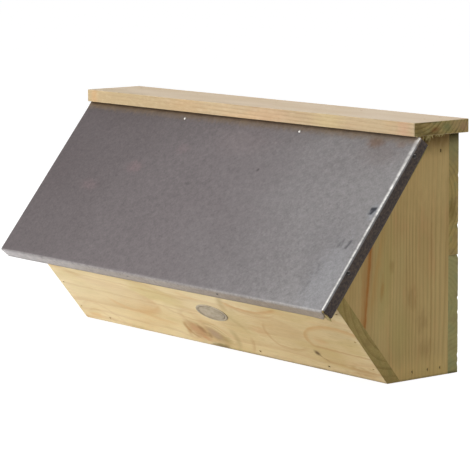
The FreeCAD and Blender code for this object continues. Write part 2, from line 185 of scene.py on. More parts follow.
def grainLine(x, y, line):  # 1 on a curve through three points of the board, fading slowly to one side
    if line["along"] == "x":
        run, level, points = x, y, line["points"]
    else:
        run, level, points = y, x, [(second, first) for first, second in line["points"]]
    (firstRun, first), (middleRun, middle), (lastRun, last) = points
    before, after = firstRun - middleRun, lastRun - middleRun
    bow = ((first - middle) / before - (last - middle) / after) / (before - after)
    tilt = (first - middle) / before - bow * before
    past = run - middleRun
    off = (level - middle - past * tilt - past * past * bow) * line["side"]
    soft = line["soft"]
    shown = run.step(firstRun - soft, firstRun + soft) * (1 - run.step(lastRun - soft, lastRun + soft))
    band = off.step(-line["wide"], 0) * (1 - off.step(0, line["wide"] * line["sharp"]))
    return band * shown * line["strength"]


def stainedAndShaded(colour, x, y, ragged, stainsAndShade):
    for stainAndShade in stainsAndShade:
        reach = around(x, y, stainAndShade)[0] + ragged * stainAndShade["ragged"]
        colour = colour.mix((1 - reach.step(stainAndShade["solid"], 1)) * stainAndShade["strength"], stainAndShade["tone"])
    return colour


def pineFinish(wood):
    material, start = newFinish(wood["finish"], {"Specular IOR Level": 0.05})
    place = spotOn(start, wood["place"])
    grainWay = {0: start.node("TexCoord", output="Normal"), 1: wood["place"].to_3x3().col[0]}
    facing = start.node("VectorMath", {"operation": "DOT_PRODUCT"}, grainWay, "Value")
    endCut = facing.do("ABSOLUTE").step(0.55, 0.8)
    x, y, z = place.axes()
    seeded = place.shifted((wood["seed"] * 713.0, wood["seed"] * 91.0, wood["seed"] * 57.0))
    drift = seeded.scaled((0.006, 0.018, 0.018)).speckle(2) - 0.5
    ragged = seeded.scaled((0.12, 0.35, 0.35)).speckle(3) - 0.5
    cloud = seeded.scaled((0.009, 0.035, 0.035)).speckle(3)
    fibre = seeded.scaled((0.03, 1.3, 1.3)).speckle(4, 0.65)
    pore = seeded.scaled((0.16, 4.5, 4.5)).speckle(2, 0.6)

    pithY, pithZ = wood["pith"]
    across = y - pithY + drift * wood["drift"] + ragged * wood["waver"]
    depth = z - pithZ + x * wood["lean"]
    rings = (across * across + depth * depth).do("SQRT") / wood["pitch"]
    knotMarks = []
    for knot in wood["knots"]:
        reach, aside = around(x, y, knot)
        rings = rings + knot["push"] * aside / (1 + (reach * 0.6) ** 4)
        knotMarks.append((knot, reach + ragged * 0.35))
    part = rings.do("FRACT")
    luck = start.node("TexWhiteNoise", {"noise_dimensions": "1D"}, {"W": rings.do("FLOOR")})
    late = part.step(wood["lateFrom"], 0.9) * (1 - part.step(0.9, 1)) * (0.2 + 0.8 * luck)
    shown = late
    if "quiet" in wood:  # the rings show less towards one side
        shown = late * (1 - y.step(*wood["quiet"]) * 0.6)

    blank = cloud.step(0.3, 0.7).between(wood["pale"], wood["deep"])
    tinge = seeded.scaled((0.014, 0.05, 0.05)).shifted((7, 3, 5)).speckle(2)
    blank = blank.mix(tinge.step(0.5, 0.72) * wood["tingeShare"], wood["tinge"])
    blush = seeded.scaled((0.022, 0.085, 0.085)).shifted((11, 6, 2)).speckle(3)
    blank = blank.mix(blush.step(0.52, 0.72) * wood["blushShare"], wood["blush"])
    blank = stainedAndShaded(blank, x, y, ragged, wood["washes"])
    colour = blank.mix(shown * wood["lateShare"], wood["late"])
    for line in wood["lines"]:
        colour = colour.mix(grainLine(x + ragged * 2, y + ragged * 3, line), line["tone"] or wood["late"])
    for knot, reach in knotMarks:
        growth = (reach * 4.5 + ragged * 0.8).do("FRACT").step(0.2, 1)
        heart = colour.mix(0.75, knot["rim"]).mix((1 - reach.step(0.1, 0.95)) * 0.8, knot["core"])
        heart = heart.mix(growth * 0.45, knot["core"])
        colour = colour.mix((1 - reach.step(knot["solid"], 1.12)) * knot["strength"], heart)
    colour = stainedAndShaded(colour, x, y, ragged, wood["stainsAndShade"])
    grain = (0.82 + 0.36 * fibre) * (0.92 + 0.16 * pore)
    colour = colour.mix(1, grain, "MULTIPLY")
    if "upTone" in wood:  # paler on the faces that point up
        rise = start.node("TexCoord", output="Normal").axes()[2]
        colour = colour.mix(rise.step(0.6, 0.9) * (0.5 + 0.5 * cloud.step(0.3, 0.7)), wood["upTone"])

    saw = seeded.scaled((1, 0.5, 1.6)).speckle(4, 0.7)
    ends = saw.step(0.3, 0.7).between(wood["endPale"], wood["endDeep"])
    patch = seeded.scaled((0.1, 0.09, 0.12)).speckle(3)
    ends = ends.mix(patch.step(0.5, 0.72) * 0.6, wood["endGreen"])
    ends = ends.mix((1 - patch).step(0.5, 0.72) * 0.6, wood["endBrown"])
    ends = ends.mix(late * wood["endShare"], wood["endLate"])
    marked = stainedAndShaded(ends, y, z, ragged, wood["endStainsAndShade"])
    ends = ends.mix((x * wood["markedEnd"]).step(-1, 1), marked)  # at one end only
    ends = ends.mix(1, 0.72 + 0.36 * pore + 0.2 * saw, "MULTIPLY")
    bloom = (0.25 + ragged.do("ABSOLUTE")) * wood["bloom"]
    colour = colour.mix(bloom, wood["worn"]).mix(endCut, ends)
    edge = start.carried("arris").step(0.2, 0.9)
    colour = colour.mix(edge * (0.3 + ragged.do("ABSOLUTE")), wood["worn"])

    roughness = 0.6 - 0.12 * late + 0.16 * (fibre - 0.5) + 0.2 * endCut
    height = fibre * 0.5 + pore * 0.35 + late * 0.3 + saw * endCut * 1.2
    return feed(material, {"Base Color": colour, "Roughness": roughness}, height, wood["relief"] * mm)


def addPiece(name, bm, finish, nodes, place=None):
    if place is not None:  # from a board's own frame to the part's
        bmesh.ops.transform(bm, matrix=place, verts=bm.verts)
    mesh = bpy.data.meshes.new(name)
    bm.to_mesh(mesh)
    bm.free()
    mesh.materials.append(finish)
    piece = bpy.data.objects.new(name, mesh)
    scene.collection.objects.link(piece)
    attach(piece, "root")
    if nodes:
        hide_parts(*nodes)
    return piece


def frameOf(origin, grain, across, outward):  # x along the grain, y across it, z out of the shown face
    columns = Matrix((grain, across, outward)).transposed()
    return Matrix.Translation(origin) @ columns.to_4x4()


def cutAlong(bm, axis, gap, dice):  # slices a board, so that its faces can wander
    low = min(vert.co[axis] for vert in bm.verts)
    high = max(vert.co[axis] for vert in bm.verts)
    count = max(1, round((high - low) / gap))
    normal = Vector([1 if index == axis else 0 for index in range(3)])
    for index in range(1, count):
        share = (index + dice.uniform(-0.2, 0.2)) / count
        point = normal * (low + (high - low) * share)
        everything = bm.verts[:] + bm.edges[:] + bm.faces[:]
        bmesh.ops.bisect_plane(bm, geom=everything, dist=1e-7, plane_co=point, plane_no=normal)


edgeSlack = 1  # how far from a face, in millimetres, an edge still belongs to it


def behind(spot):  # an inner face, against which other boards lie
    return spot.z < edgeSlack - boardThickness / mm


def aboveFoot(spot):
    return spot.x > edgeSlack


def dressBoard(board):
    dice = random.Random(board["seed"])
    bm = bmesh.new()
    bm.from_mesh(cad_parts[board["node"]].data)
    bmesh.ops.transform(bm, matrix=board["place"].inverted(), verts=bm.verts)
    bmesh.ops.remove_doubles(bm, verts=bm.verts, dist=0.01 * mm)
    bmesh.ops.dissolve_limit(bm, angle_limit=math.radians(1), verts=bm.verts, edges=bm.edges)
    arrises = []
    for edge in bm.edges:
        if not edge.is_manifold or edge.calc_face_angle_signed() < board["edgeTurn"]:
            continue
        if edge.calc_length() < board["shortEdge"] * mm:
            continue
        if "covered" in board and board["covered"]((edge.verts[0].co + edge.verts[1].co) / 2 / mm):
            continue
        arrises.append(edge)
    worn = bm.verts.layers.float.new("arris")
    made = bmesh.ops.bevel(bm, geom=arrises, offset=board["arris"] * mm, segments=2, profile=0.5,
                           affect="EDGES", clamp_overlap=True, loop_slide=True)
    rounded = set(made["faces"])
    for vert in bm.verts:
        if all(face in rounded for face in vert.link_faces):  # along the crest of an arris
            vert[worn] = 1
    for axis, gap in enumerate(board["slices"]):
        cutAlong(bm, axis, gap * mm, dice)
    bmesh.ops.triangulate(bm, faces=[face for face in bm.faces if len(face.verts) > 4])
    bm.normal_update()
    for edge in bm.edges:
        if edge.is_manifold and edge.calc_face_angle() > board["sharpTurn"]:
            edge.smooth = False
    seed = Vector((board["seed"] * 3.7, board["seed"] * 1.3, 0))
    farEnd = max(vert.co.x for vert in bm.verts)
    frayed = board["frayed"] * mm
    tornAcross, tornAlong = board["tornWaves"]
    moves = []
    for vert in bm.verts:
        slow = noise.noise(vert.co * board["slowWaves"] + seed) * 0.5 + 0.5
        quick = noise.noise(vert.co * board["quickWaves"] + seed) * 0.5 + 0.5
        amount = slow * board["wander"] + vert[worn] * quick * board["wear"]
        move = -vert.normal * amount * mm
        if "torn" in board and vert.co.z > -frayed and farEnd - abs(vert.co.x) < frayed:
            spot = Vector((vert.co.y * tornAcross, vert.co.x * tornAlong, board["seed"]))
            bite = noise.noise(spot) - board["tornFrom"]
            move.x -= math.copysign(max(0, bite) * board["torn"] * mm, vert.co.x)
        moves.append(move)
    for vert, move in zip(bm.verts, moves):
        vert.co += move
    for face in bm.faces:
        face.smooth = True
    piece = addPiece(board["name"], bm, pineFinish(board), [board["node"]], board["place"])
    flatten = piece.modifiers.new("flatten", "WEIGHTED_NORMAL")
    flatten.keep_sharp = True
    print("board:", board["name"], len(piece.data.polygons), "faces")


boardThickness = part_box("top_board")[1].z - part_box("top_board")[0].z
slope = math.radians(51.2)  # of the roof and, the other way, of the lower panel
alongX = Vector((1, 0, 0))
alongY = Vector((0, 1, 0))
alongZ = Vector((0, 0, 1))

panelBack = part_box("lower_front_panel")[1].y
panelPlace = frameOf(Vector((0, panelBack - boardThickness / math.sin(slope), 0)), alongX,
                     Vector((0, -math.cos(slope), math.sin(slope))),
                     Vector((0, -math.sin(slope), -math.cos(slope))))
roofLow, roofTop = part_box("roof_board")
roofWidth = (roofTop.z - roofLow.z - boardThickness * math.cos(slope)) / math.sin(slope)
roofPlace = frameOf(Vector((0, roofTop.y - boardThickness * math.sin(slope), roofTop.z)), alongX,
                    Vector((0, math.cos(slope), math.sin(slope))),
                    Vector((0, -math.sin(slope), math.cos(slope))))
rightPlace = frameOf(Vector((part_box("right_cheek")[1].x, 0, 0)), alongZ, -alongY, alongX)
leftPlace = frameOf(Vector((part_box("left_cheek")[0].x, 0, 0)), alongZ, alongY, -alongX)
lowerPlankPlace = frameOf(Vector((0, 0, 0)), -alongX, alongZ, alongY)
upperPlankPlace = frameOf(Vector((0, 0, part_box("upper_back_plank")[0].z)), -alongX, alongZ, alongY)
topPlace = frameOf(Vector((0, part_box("top_board")[0].y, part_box("top_board")[1].z)), alongX, alongY, alongZ)
floorPlace = frameOf(Vector((0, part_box("floor_board")[1].y, 0)), alongX, -alongY, -alongZ)
railPlace = frameOf(Vector((0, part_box("top_rail")[0].y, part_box("top_rail")[0].z)), alongX, alongZ, -alongY)

plainBoard = {  # what a board has where its own dictionary says nothing else
    "arris": 0.5,  # width of its worn edges
    "wear": 0.3,
    "wander": 0.12,  # how far its faces stray from flat
    "edgeTurn": 0.4,  # radians: flatter edges don't wear
    "sharpTurn": 0.87,  # and edges that turn more are shaded as sharp
    "shortEdge": 8,  # shorter ones don't wear either
    "slowWaves": 22,  # noise scales, of the faces and of the worn edges
    "quickWaves": 160,
    "tornWaves": (290, 40),
    "frayed": 1.2,  # how far in from its ends the saw has torn it
    "endPale": (187, 165, 102),
    "endDeep": (171, 151, 91),
    "endLate": (116, 90, 46),
    "endGreen": (162, 160, 110),
    "endBrown": (173, 148, 102),
    "endShare": 0.4,
    "endStainsAndShade": [],
    "markedEnd": 1,  # which end has the end stains and painted shade
    "worn": (236, 222, 184),
    "bloom": 0.6,  # a thin weathered veil over the planed faces
    "tinge": (204, 186, 126),
    "tingeShare": 0.5,
    "blush": (220, 172, 120),
    "blushShare": 0.35,
    "lateFrom": 0.35,
    "waver": 0.8,
    "relief": 0.25,
    "knots": [],
    "lines": [],
    "washes": [],
    "stainsAndShade": [],
}

lowerPanel = {
    "name": "lower_panel",
    "node": "lower_front_panel",
    "place": panelPlace,
    "seed": 3,
    "arris": 0.7,
    "slices": (14, 11, 20),
    "covered": behind,
    "finish": "panel_pine",
    "worn": (176, 148, 100),
    "bloom": 0.2,
    "endPale": (197, 174, 114),
    "endDeep": (175, 153, 94),
    "endGreen": (161, 148, 92),
    "endBrown": (169, 144, 92),
    "pale": (236, 220, 181),
    "deep": (227, 207, 163),
    "late": (188, 144, 100),
    "lateShare": 0.34,
    "lateFrom": 0.5,
    "blushShare": 0.22,
    "pith": (48, -60),
    "lean": 0.03,
    "pitch": 6.5,
    "drift": 34,
    "knots": [
        knotAt((-29, 19), (18, 14.5), 0.9, 0.64, (160, 112, 68), (194, 148, 110), turn=-25, solid=0.3),
        knotAt((-1, 18), (15, 10), 0.9, 0.66, (158, 134, 104), (170, 148, 134), turn=-25, solid=0.35),
        knotAt((148, 23.5), (5, 4.4), 0.5, 0.85, (124, 90, 58), (62, 44, 30), turn=-15, solid=0.3),
    ],
    "lines": [
        vein("x", [(48, 70), (90, 64.5), (124, 73)], 5, 0.5, (198, 144, 92)),
        vein("x", [(60, 64), (92, 59), (120, 66)], 3, 0.3),
        vein("y", [(44.7, 57.7), (43.7, 65), (48.5, 76)], 8, 0.35, (160, 130, 76), sharp=1, soft=5),
        vein("x", [(42, 51), (48, 44.6), (58, 36)], 7, 0.22, (166, 140, 84), sharp=1, soft=5),
        vein("y", [(25, 6), (31.8, 21.5), (31, 30)], 8, 0.34, (148, 126, 72), sharp=0.9, soft=5),
        vein("y", [(-34, 8), (-42, 16), (-42, 27)], 5, 0.5, (166, 118, 70), sharp=0.7, soft=3),
        vein("x", [(-9, 34.5), (8.8, 31.3), (17, 24)], 3, 0.45, (220, 198, 142), sharp=0.8, soft=4),
        vein("x", [(-11, 31), (6, 28), (15, 20.5)], 2.6, 0.4, (164, 136, 86), sharp=0.8, soft=4),
        vein("x", [(149, 22), (153, 18.5), (158, 15)], 2.4, 0.5, (130, 98, 62), soft=2),
        vein("y", [(45, 4), (53, 14), (57, 24)], 6, 0.35),
        vein("y", [(95, 24), (87.5, 36), (92, 50)], 5, 0.4, side=-1),
        vein("x", [(93, 25), (112, 22), (136, 27)], 4, 0.35),
        vein("y", [(149, 34), (147, 46), (160, 57)], 7, 0.5, (198, 150, 98), side=-1),
        vein("x", [(158, 56), (186, 63.5), (228, 59)], 6, 0.5, (204, 154, 100)),
        vein("x", [(149, 34), (180, 32.5), (228, 31)], 3, 0.55),
        vein("x", [(150, 17), (180, 13), (228, 12)], 4, 0.35),
        vein("x", [(-152, 40), (-105, 30), (-68, 43)], 7, 0.28, (212, 164, 108)),
        vein("x", [(-112, 31), (-84, 25), (-58, 22)], 6, 0.26, (212, 166, 112)),
        vein("x", [(-212, 22), (-183, 27), (-154, 6)], 5, 0.17),
        vein("x", [(-208, 13), (-190, 17), (-170, 3)], 4, 0.17),
        vein("x", [(-215, 51), (-120, 48), (-8, 44)], 3, 0.22),
        vein("x", [(-200, 70), (-100, 66), (-14, 62)], 3, 0.2),
        vein("x", [(-60, 45), (-30, 36), (10, 34)], 3, 0.26),
    ],
    "washes": [
        # lighter at the left end and darker towards the right: the wood's own variation, with painted light
        # falling off away from the lamp on the left
        blot((-180, 50), (110, 80), (228, 210, 174), 0.5),
        blot((150, 40), (130, 70), (198, 172, 121), 0.55),
        blot((48, 42), (34, 36), (202, 182, 130), 0.5),
        blot((205, 62), (40, 24), (178, 152, 104), 0.4),
        blot((-12, 17), (40, 18), (186, 152, 104), 0.6, turn=-8, solid=0),
    ],
    "stainsAndShade": [
        blot((-92, 33), (24, 12), (220, 180, 128), 0.28, ragged=1),
        blot((-200, 8), (16, 6), (214, 172, 120), 0.45, ragged=1),
        blot((-4, 2.5), (19, 5), (108, 94, 56), 0.7, ragged=0.9),
        blot((12, 13), (13, 11), (166, 146, 92), 0.5, ragged=0.9),
        blot((-19, 22), (11, 5.5), (140, 98, 64), 0.54, turn=-56, ragged=0.8),
        blot((-31, 21), (8, 6), (206, 162, 128), 0.5, ragged=0.8),
        blot((-22, 9.5), (10, 4.5), (206, 138, 102), 0.42, turn=-20, ragged=0.8),
        blot((-12, 15), (4, 7), (142, 108, 70), 0.45, turn=-20, ragged=0.9),
        blot((-44, 14), (5, 10), (176, 128, 78), 0.45, turn=-30, ragged=0.9),
        blot((78, 38), (18, 9), (210, 164, 116), 0.35, ragged=1),
        blot((166, 42), (14, 7), (206, 160, 112), 0.4, ragged=1),
        blot((200, 10), (30, 10), (172, 132, 82), 0.4, ragged=1.2),
        # painted shade: a dark line along the panel's bottom edge
        blot((120, -1), (280, 4.5), (104, 80, 44), 0.6, ragged=0.5, solid=0.3),
    ],
}

rightCheek = {
    "name": "right_side",
    "node": "right_cheek",
    "place": rightPlace,
    "seed": 5,
    "arris": 0.6,
    "slices": (14, 12, 20),
    "covered": aboveFoot,
    "finish": "right_side_pine",
    "bloom": 0,
    "pale": (214, 187, 128),
    "deep": (204, 175, 118),
    "late": (170, 134, 78),
    "lateShare": 0.75,
    "quiet": (45, 100),
    "pith": (-14, -60),
    "lean": 0.02,
    "pitch": 3.0,
    "drift": 10,
    "lines": [
        vein("x", [(46, 110.5), (84, 106.5), (126, 102.4)], 10, 0.6, (190, 138, 84), side=-1),
        vein("x", [(46, 110.5), (84, 106.5), (126, 102.4)], 3.6, 0.8, (184, 118, 58), side=-1),
        vein("x", [(66, 103), (101, 97), (134, 89.5)], 7, 0.4, (206, 156, 88), soft=16),
        vein("x", [(30, 116), (60, 113.5), (100, 112)], 5, 0.4, (196, 146, 84), soft=14),
    ],
    "stainsAndShade": [
        blot((190, 40), (70, 60), (231, 201, 139), 0.7),
        # painted shade under the top board's overhang, darkest in the gap beside the roof sheet's top end
        blot((215, 30), (24, 90), (92, 70, 34), 0.9, ragged=0.3, solid=0),
        blot((210, 40), (6, 6), (52, 42, 24), 0.9, ragged=0.5),
        blot((92, 86), (64, 14), (192, 176, 110), 0.5, turn=-5),
        blot((84, 90), (16, 4), (190, 138, 76), 0.5, turn=-4, ragged=1),
        blot((103, 79), (8, 5), (176, 142, 88), 0.45, ragged=1.2),
        blot((72, 56), (15, 9), (168, 136, 86), 0.38, ragged=1.4),
        blot((51, 42), (15, 10), (166, 132, 84), 0.4, ragged=1.4),
        blot((26, 39), (14, 10), (168, 134, 84), 0.4, ragged=1.4),
        blot((40, 70), (40, 22), (186, 172, 108), 0.4),
        blot((0, 45), (26, 120), (234, 205, 136), 0.58, ragged=0.3),
        blot((-1, 45), (3.6, 120), (124, 110, 54), 0.7, ragged=0.4),
    ],
}

leftCheek = {
    "name": "left_side",
    "node": "left_cheek",
    "place": leftPlace,
    "seed": 8,
    "arris": 0.6,
    "slices": (14, 12, 20),
    "covered": aboveFoot,
    "finish": "left_side_pine",
    "bloom": 0,
    "pale": (222, 196, 146),
    "deep": (212, 182, 128),
    "late": (184, 142, 92),
    "lateShare": 0.55,
    "pith": (-70, -30),
    "lean": 0.05,
    "pitch": 3.6,
    "drift": 16,
    "knots": [
        knotAt((132, -58), (8, 6), 1.2, 0.85, (178, 134, 86), (120, 84, 54), turn=20),
    ],
}

upperPlank = {
    "name": "back_plank_upper",
    "node": "upper_back_plank",
    "place": upperPlankPlace,
    "seed": 11,
    "slices": (22, 2.6, 20),
    "covered": behind,
    "torn": 4,
    "tornFrom": 0.32,
    "finish": "upper_plank_pine",
    "endPale": (206, 181, 116),
    "endDeep": (188, 164, 104),
    "markedEnd": -1,
    "endStainsAndShade": [
        blot((104, -6), (40, 24), (152, 152, 112), 0.7),
        # painted shade under the top board's overhang, at the top of the plank's right end
        blot((113, -6), (18, 60), (56, 48, 16), 1, solid=0.2, ragged=0.2),
        blot((40, -8), (16, 8), (112, 92, 48), 0.5),
    ],
    "pale": (214, 190, 142),
    "deep": (203, 178, 126),
    "late": (176, 134, 86),
    "lateShare": 0.6,
    "pith": (52, -40),
    "lean": -0.03,
    "pitch": 4.4,
    "drift": 22,
    "knots": [
        knotAt((88, 70), (11, 8), 1.5, 0.9, (176, 130, 84), (112, 78, 50), turn=10),
        knotAt((-140, 30), (7, 5), 1.2, 0.85, (182, 138, 90), (126, 90, 58), turn=-20),
    ],
}

lowerPlank = {
    "name": "back_plank_lower",
    "node": "lower_back_plank",
    "place": lowerPlankPlace,
    "seed": 13,
    "slices": (22, 2.6, 20),
    "covered": behind,
    "torn": 3,
    "tornFrom": 0.12,
    "finish": "lower_plank_pine",
    "endPale": (190, 181, 127),
    "endDeep": (173, 166, 113),
    "endGreen": (161, 164, 119),
    "endBrown": (169, 156, 110),
    "endShare": 0.2,
    "markedEnd": -1,
    "endStainsAndShade": [
        blot((0, -6), (3.5, 30), (84, 80, 44), 0.7, ragged=0.4),
    ],
    "pale": (216, 194, 146),
    "deep": (206, 182, 132),
    "late": (178, 138, 90),
    "lateShare": 0.55,
    "pith": (60, -28),
    "lean": 0.025,
    "pitch": 4.0,
    "drift": 20,
    "knots": [
        knotAt((-36, 44), (9, 8), 1.4, 0.9, (176, 130, 84), (116, 80, 52)),
    ],
}

topBoard = {
    "name": "top_plank",
    "node": "top_board",
    "place": topPlace,
    "seed": 17,
    "arris": 0.6,
    "slices": (15, 11, 20),
    "finish": "top_plank_pine",
    "endPale": (211, 187, 120),
    "endDeep": (174, 154, 100),
    "endLate": (50, 36, 14),
    "endGreen": (155, 156, 113),
    "endBrown": (165, 141, 103),
    "endShare": 0.65,
    "pale": (196, 170, 134),
    "deep": (188, 159, 124),
    "late": (156, 116, 78),
    "lateShare": 0.7,
    "waver": 3,
    "tinge": (196, 160, 128),
    "tingeShare": 0.8,
    "upTone": (210, 191, 171),
    "endStainsAndShade": [
        blot((5, -6), (11, 9), (122, 98, 54), 0.5),
        blot((14, -2.5), (8, 2.5), (190, 160, 104), 0.6),
        blot((24, -7.5), (9, 3.5), (132, 78, 46), 0.65, turn=15),
        blot((38, -6), (10, 7), (136, 142, 96), 0.6),
        blot((52, -4), (14, 8), (196, 168, 122), 0.6),
        blot((59, -6.5), (8, 7), (188, 148, 116), 0.6),
        blot((16, -0.3), (17, 1.8), (72, 58, 28), 0.6),
        blot((18, -10.5), (20, 2.5), (84, 70, 34), 0.5),
    ],
    "pith": (5, 31),
    "lean": 0.02,
    "pitch": 3.6,
    "drift": 16,
    "lines": [
        vein("x", [(-143, -1), (-137, -1), (-131, -1)], 2, 0.6, (120, 92, 62), soft=2),
    ],
    "stainsAndShade": [
        # painted shade over the left part, evening out the stronger light there from the lamp on the left
        blot((-210, 0), (230, 70), (167, 141, 102), 0.8),
        blot((-228, -2), (9, 7), (198, 142, 88), 0.5),
        blot((226, -2), (12, 9), (204, 150, 122), 0.6, ragged=0.9),
        blot((40, 0), (40, 14), (196, 156, 124), 0.45, ragged=0.9),
        blot((128, 0), (34, 12), (206, 184, 128), 0.45, ragged=0.9),
        blot((-80, 0), (36, 12), (188, 148, 104), 0.4, ragged=0.9),
        blot((185, -2), (50, 14), (206, 182, 144), 0.4, ragged=0.9),
    ],
}

roofBoard = {
    "name": "roof_deck",
    "node": "roof_board",
    "place": roofPlace,
    "seed": 19,
    "arris": 0.4,
    "wear": 0.2,
    "slices": (20, 16, 20),
    "finish": "roof_deck_pine",
    "pale": (216, 192, 146),
    "deep": (206, 180, 130),
    "late": (178, 138, 90),
    "lateShare": 0.5,
    "pith": (-90, -46),
    "lean": 0.02,
    "pitch": 4.6,
    "drift": 20,
}

floorBoard = {
    "name": "floor_plank",
    "node": "floor_board",
    "place": floorPlace,
    "seed": 23,
    "slices": (16, 12, 20),
    "finish": "floor_plank_pine",
    "pale": (216, 192, 144),
    "deep": (206, 178, 128),
    "late": (178, 136, 88),
    "lateShare": 0.55,
    "pith": (30, -36),
    "lean": 0.03,
    "pitch": 4.2,
    "drift": 20,
}

topRail = {
    "name": "inner_rail",
    "node": "top_rail",
    "place": railPlace,
    "seed": 29,
    "slices": (24, 16, 20),
    "finish": "inner_rail_pine",
    "pale": (214, 190, 142),
    "deep": (204, 176, 126),
    "late": (176, 134, 86),
    "lateShare": 0.5,
    "pith": (10, -30),
    "lean": 0.03,
    "pitch": 3.6,
    "drift": 14,
}

for board in (lowerPanel, rightCheek, leftCheek, upperPlank, lowerPlank, topBoard, roofBoard, floorBoard,
              topRail):
    dressBoard({**plainBoard, **board})


sheet = {
    "thickness": 0.6,
    "clearance": 0.05,  # kept from the model's lower edge
    "bendRadius": 1.4,
    "frontRadius": 2.2,
    "cornerRadius": 1.4,  # of the front bend at its left end
    "cornerRun": 30,
    "bendSteps": 4,
    "rubbedAndLitBend": (1, 0.8, 0.2, 0),  # most rubbed, and brightest as a painted highlight, where the bend leaves the flat
    "dropShares": (0.1, 0.3, 0.55, 0.8, 1),  # rows of points down a fold
    "gap": 9,  # between the grid's lines
    "closest": 0.9,  # lines nearer than this become one
    "tackLines": (-7, -3.5, 0, 3.5, 7),  # more lines, about a tack's middle
    "sideLines": (1.5, 4, 10),  # and beside the bends
    "frontLines": (1.5, 4),
    "snipRight": 7,  # slanting cuts at the ends of the front fold
    "snipLeft": 0.3,
    "snipRun": 28,
    "wave": 0.3,  # how far the flat lifts off the boards
    "waveScale": (0.013, 0.02),
    "waveRun": 25,
    "waveAtTop": 0.2,  # what is left of it at the top edge
    "spring": 0.5,  # up against the top board
    "springRun": 14,
    "dimple": 0.3,  # how deep a tack draws it in
    "dimpleReach": 4,
    "sideReach": 3.5,
    "sideLean": 1.2,  # degrees that the folds stray from square
    "sideStray": 0.03,  # and the scale on which they do
    "frontLean": 1.0,
    "frontStray": 0.02,
    "taper": 0.15,  # how much shallower the right fold is at its top end
    "taperRun": 80,
    "tailGap": 0.4,
    "tailBites": (0, 0.5, 1.4, 0.2, 1.7),  # of the side folds' uneven lower ends
    "flareRight": 4,  # degrees that the front fold springs out at its ends
    "flareLeft": 1,
    "flareRunRight": 26,
    "flareRunLeft": 30,
    "flareEase": 1.5,
    "frontRubAndSheen": 0.55,  # how rubbed the front bend is, with a painted highlight
    "frontShare": 0.6,  # how much of a fold's tone the end of its bend has
    "sideShare": 0.3,
    "shoulder": 0.92,  # how rubbed the flat is at the right bend, with a painted highlight
    "shoulderFade": 0.08,
    "shoulderGain": 0.0022,
    "tone": (109, 102, 103),
    "toneDark": (85, 77, 78),
    "toneLight": (138, 135, 135),
    # pale rubbed metal on the bends, which also paints their highlight
    "bendTone": (240, 238, 234),
    # painted shade: the side folds are darker than the flat
    "sideTone": (83, 70, 61),
    "sideDark": (54, 46, 44),
    # dark rings round the side tacks: grime, with painted shade of their dimples
    "grimeAndShade": (34, 30, 32),
    # the front fold's pale tones: painted reflection of the bright floor, lightest at the left, towards the
    # lamp
    "frontLeft": (181, 177, 178),
    "frontMiddle": (168, 159, 152),
    "frontRight": (149, 136, 121),
    # brown under the top board: a stain, with painted shade
    "rustAndShadeTone": (124, 102, 72),
    "marks": [
        blot((192, -10), (15, 8), (116, 86, 62), 0.7),
        blot((224, -9), (9, 5), (132, 106, 88), 0.4),
        blot((62, -52), (3, 2.5), (78, 72, 73), 0.8),
        blot((-23, -76), (6, 2.5), (84, 78, 79), 0.6),
        blot((76, -135), (3, 2), (90, 84, 85), 0.6),
        blot((-91, -46), (2.5, 2), (84, 76, 77), 0.6),
        blot((-113, -66), (17, 10), (122, 102, 104), 0.45),
        blot((-165, -92), (20, 9), (116, 98, 100), 0.4),
        blot((-58, -40), (14, 8), (124, 106, 108), 0.3),
        blot((90, -150), (120, 60), (108, 102, 103), 0.4),
        blot((205, -112), (50, 50), (116, 112, 114), 0.35),
        blot((-190, -150), (90, 60), (114, 108, 109), 0.1),
        blot((20, -24), (60, 24), (128, 116, 116), 0.25),
        blot((205, -20), (36, 18), (112, 98, 94), 0.3),
        blot((203, -147), (24, 20), (108, 104, 105), 0.3),
        # painted sheen, brightest at the lower right corner
        blot((225, -150), (32, 62), (150, 150, 153), 0.5),
        blot((236, -77), (8, 12), (158, 162, 168), 0.5),
        blot((209, -138), (3, 10), (100, 97, 99), 0.45, turn=12),
        blot((206, -157), (3, 10), (108, 105, 107), 0.4, turn=-14),
    ],
    "strokes": [
        vein("x", [(231, -74.6), (234, -74.2), (238, -73.4)], 5, 1, (38, 40, 48), soft=1, sharp=0.5),
        vein("y", [(233.6, -80.5), (234.8, -77.5), (236.2, -74)], 5.5, 1, (42, 44, 52), soft=1, sharp=0.5),
        vein("y", [(227.6, -116), (228.7, -112), (229.8, -107)], 3.6, 0.75, (66, 64, 68), soft=1.5,
             sharp=0.6),
        vein("y", [(217.7, -116), (218.2, -113), (218.4, -110)], 3, 0.55, (84, 82, 85), soft=1.5,
             sharp=0.6),
        vein("y", [(220.8, -114.5), (220.8, -111), (220.6, -107.5)], 3, 0.5, (88, 86, 88), soft=1.5,
             sharp=0.6),
    ],
}


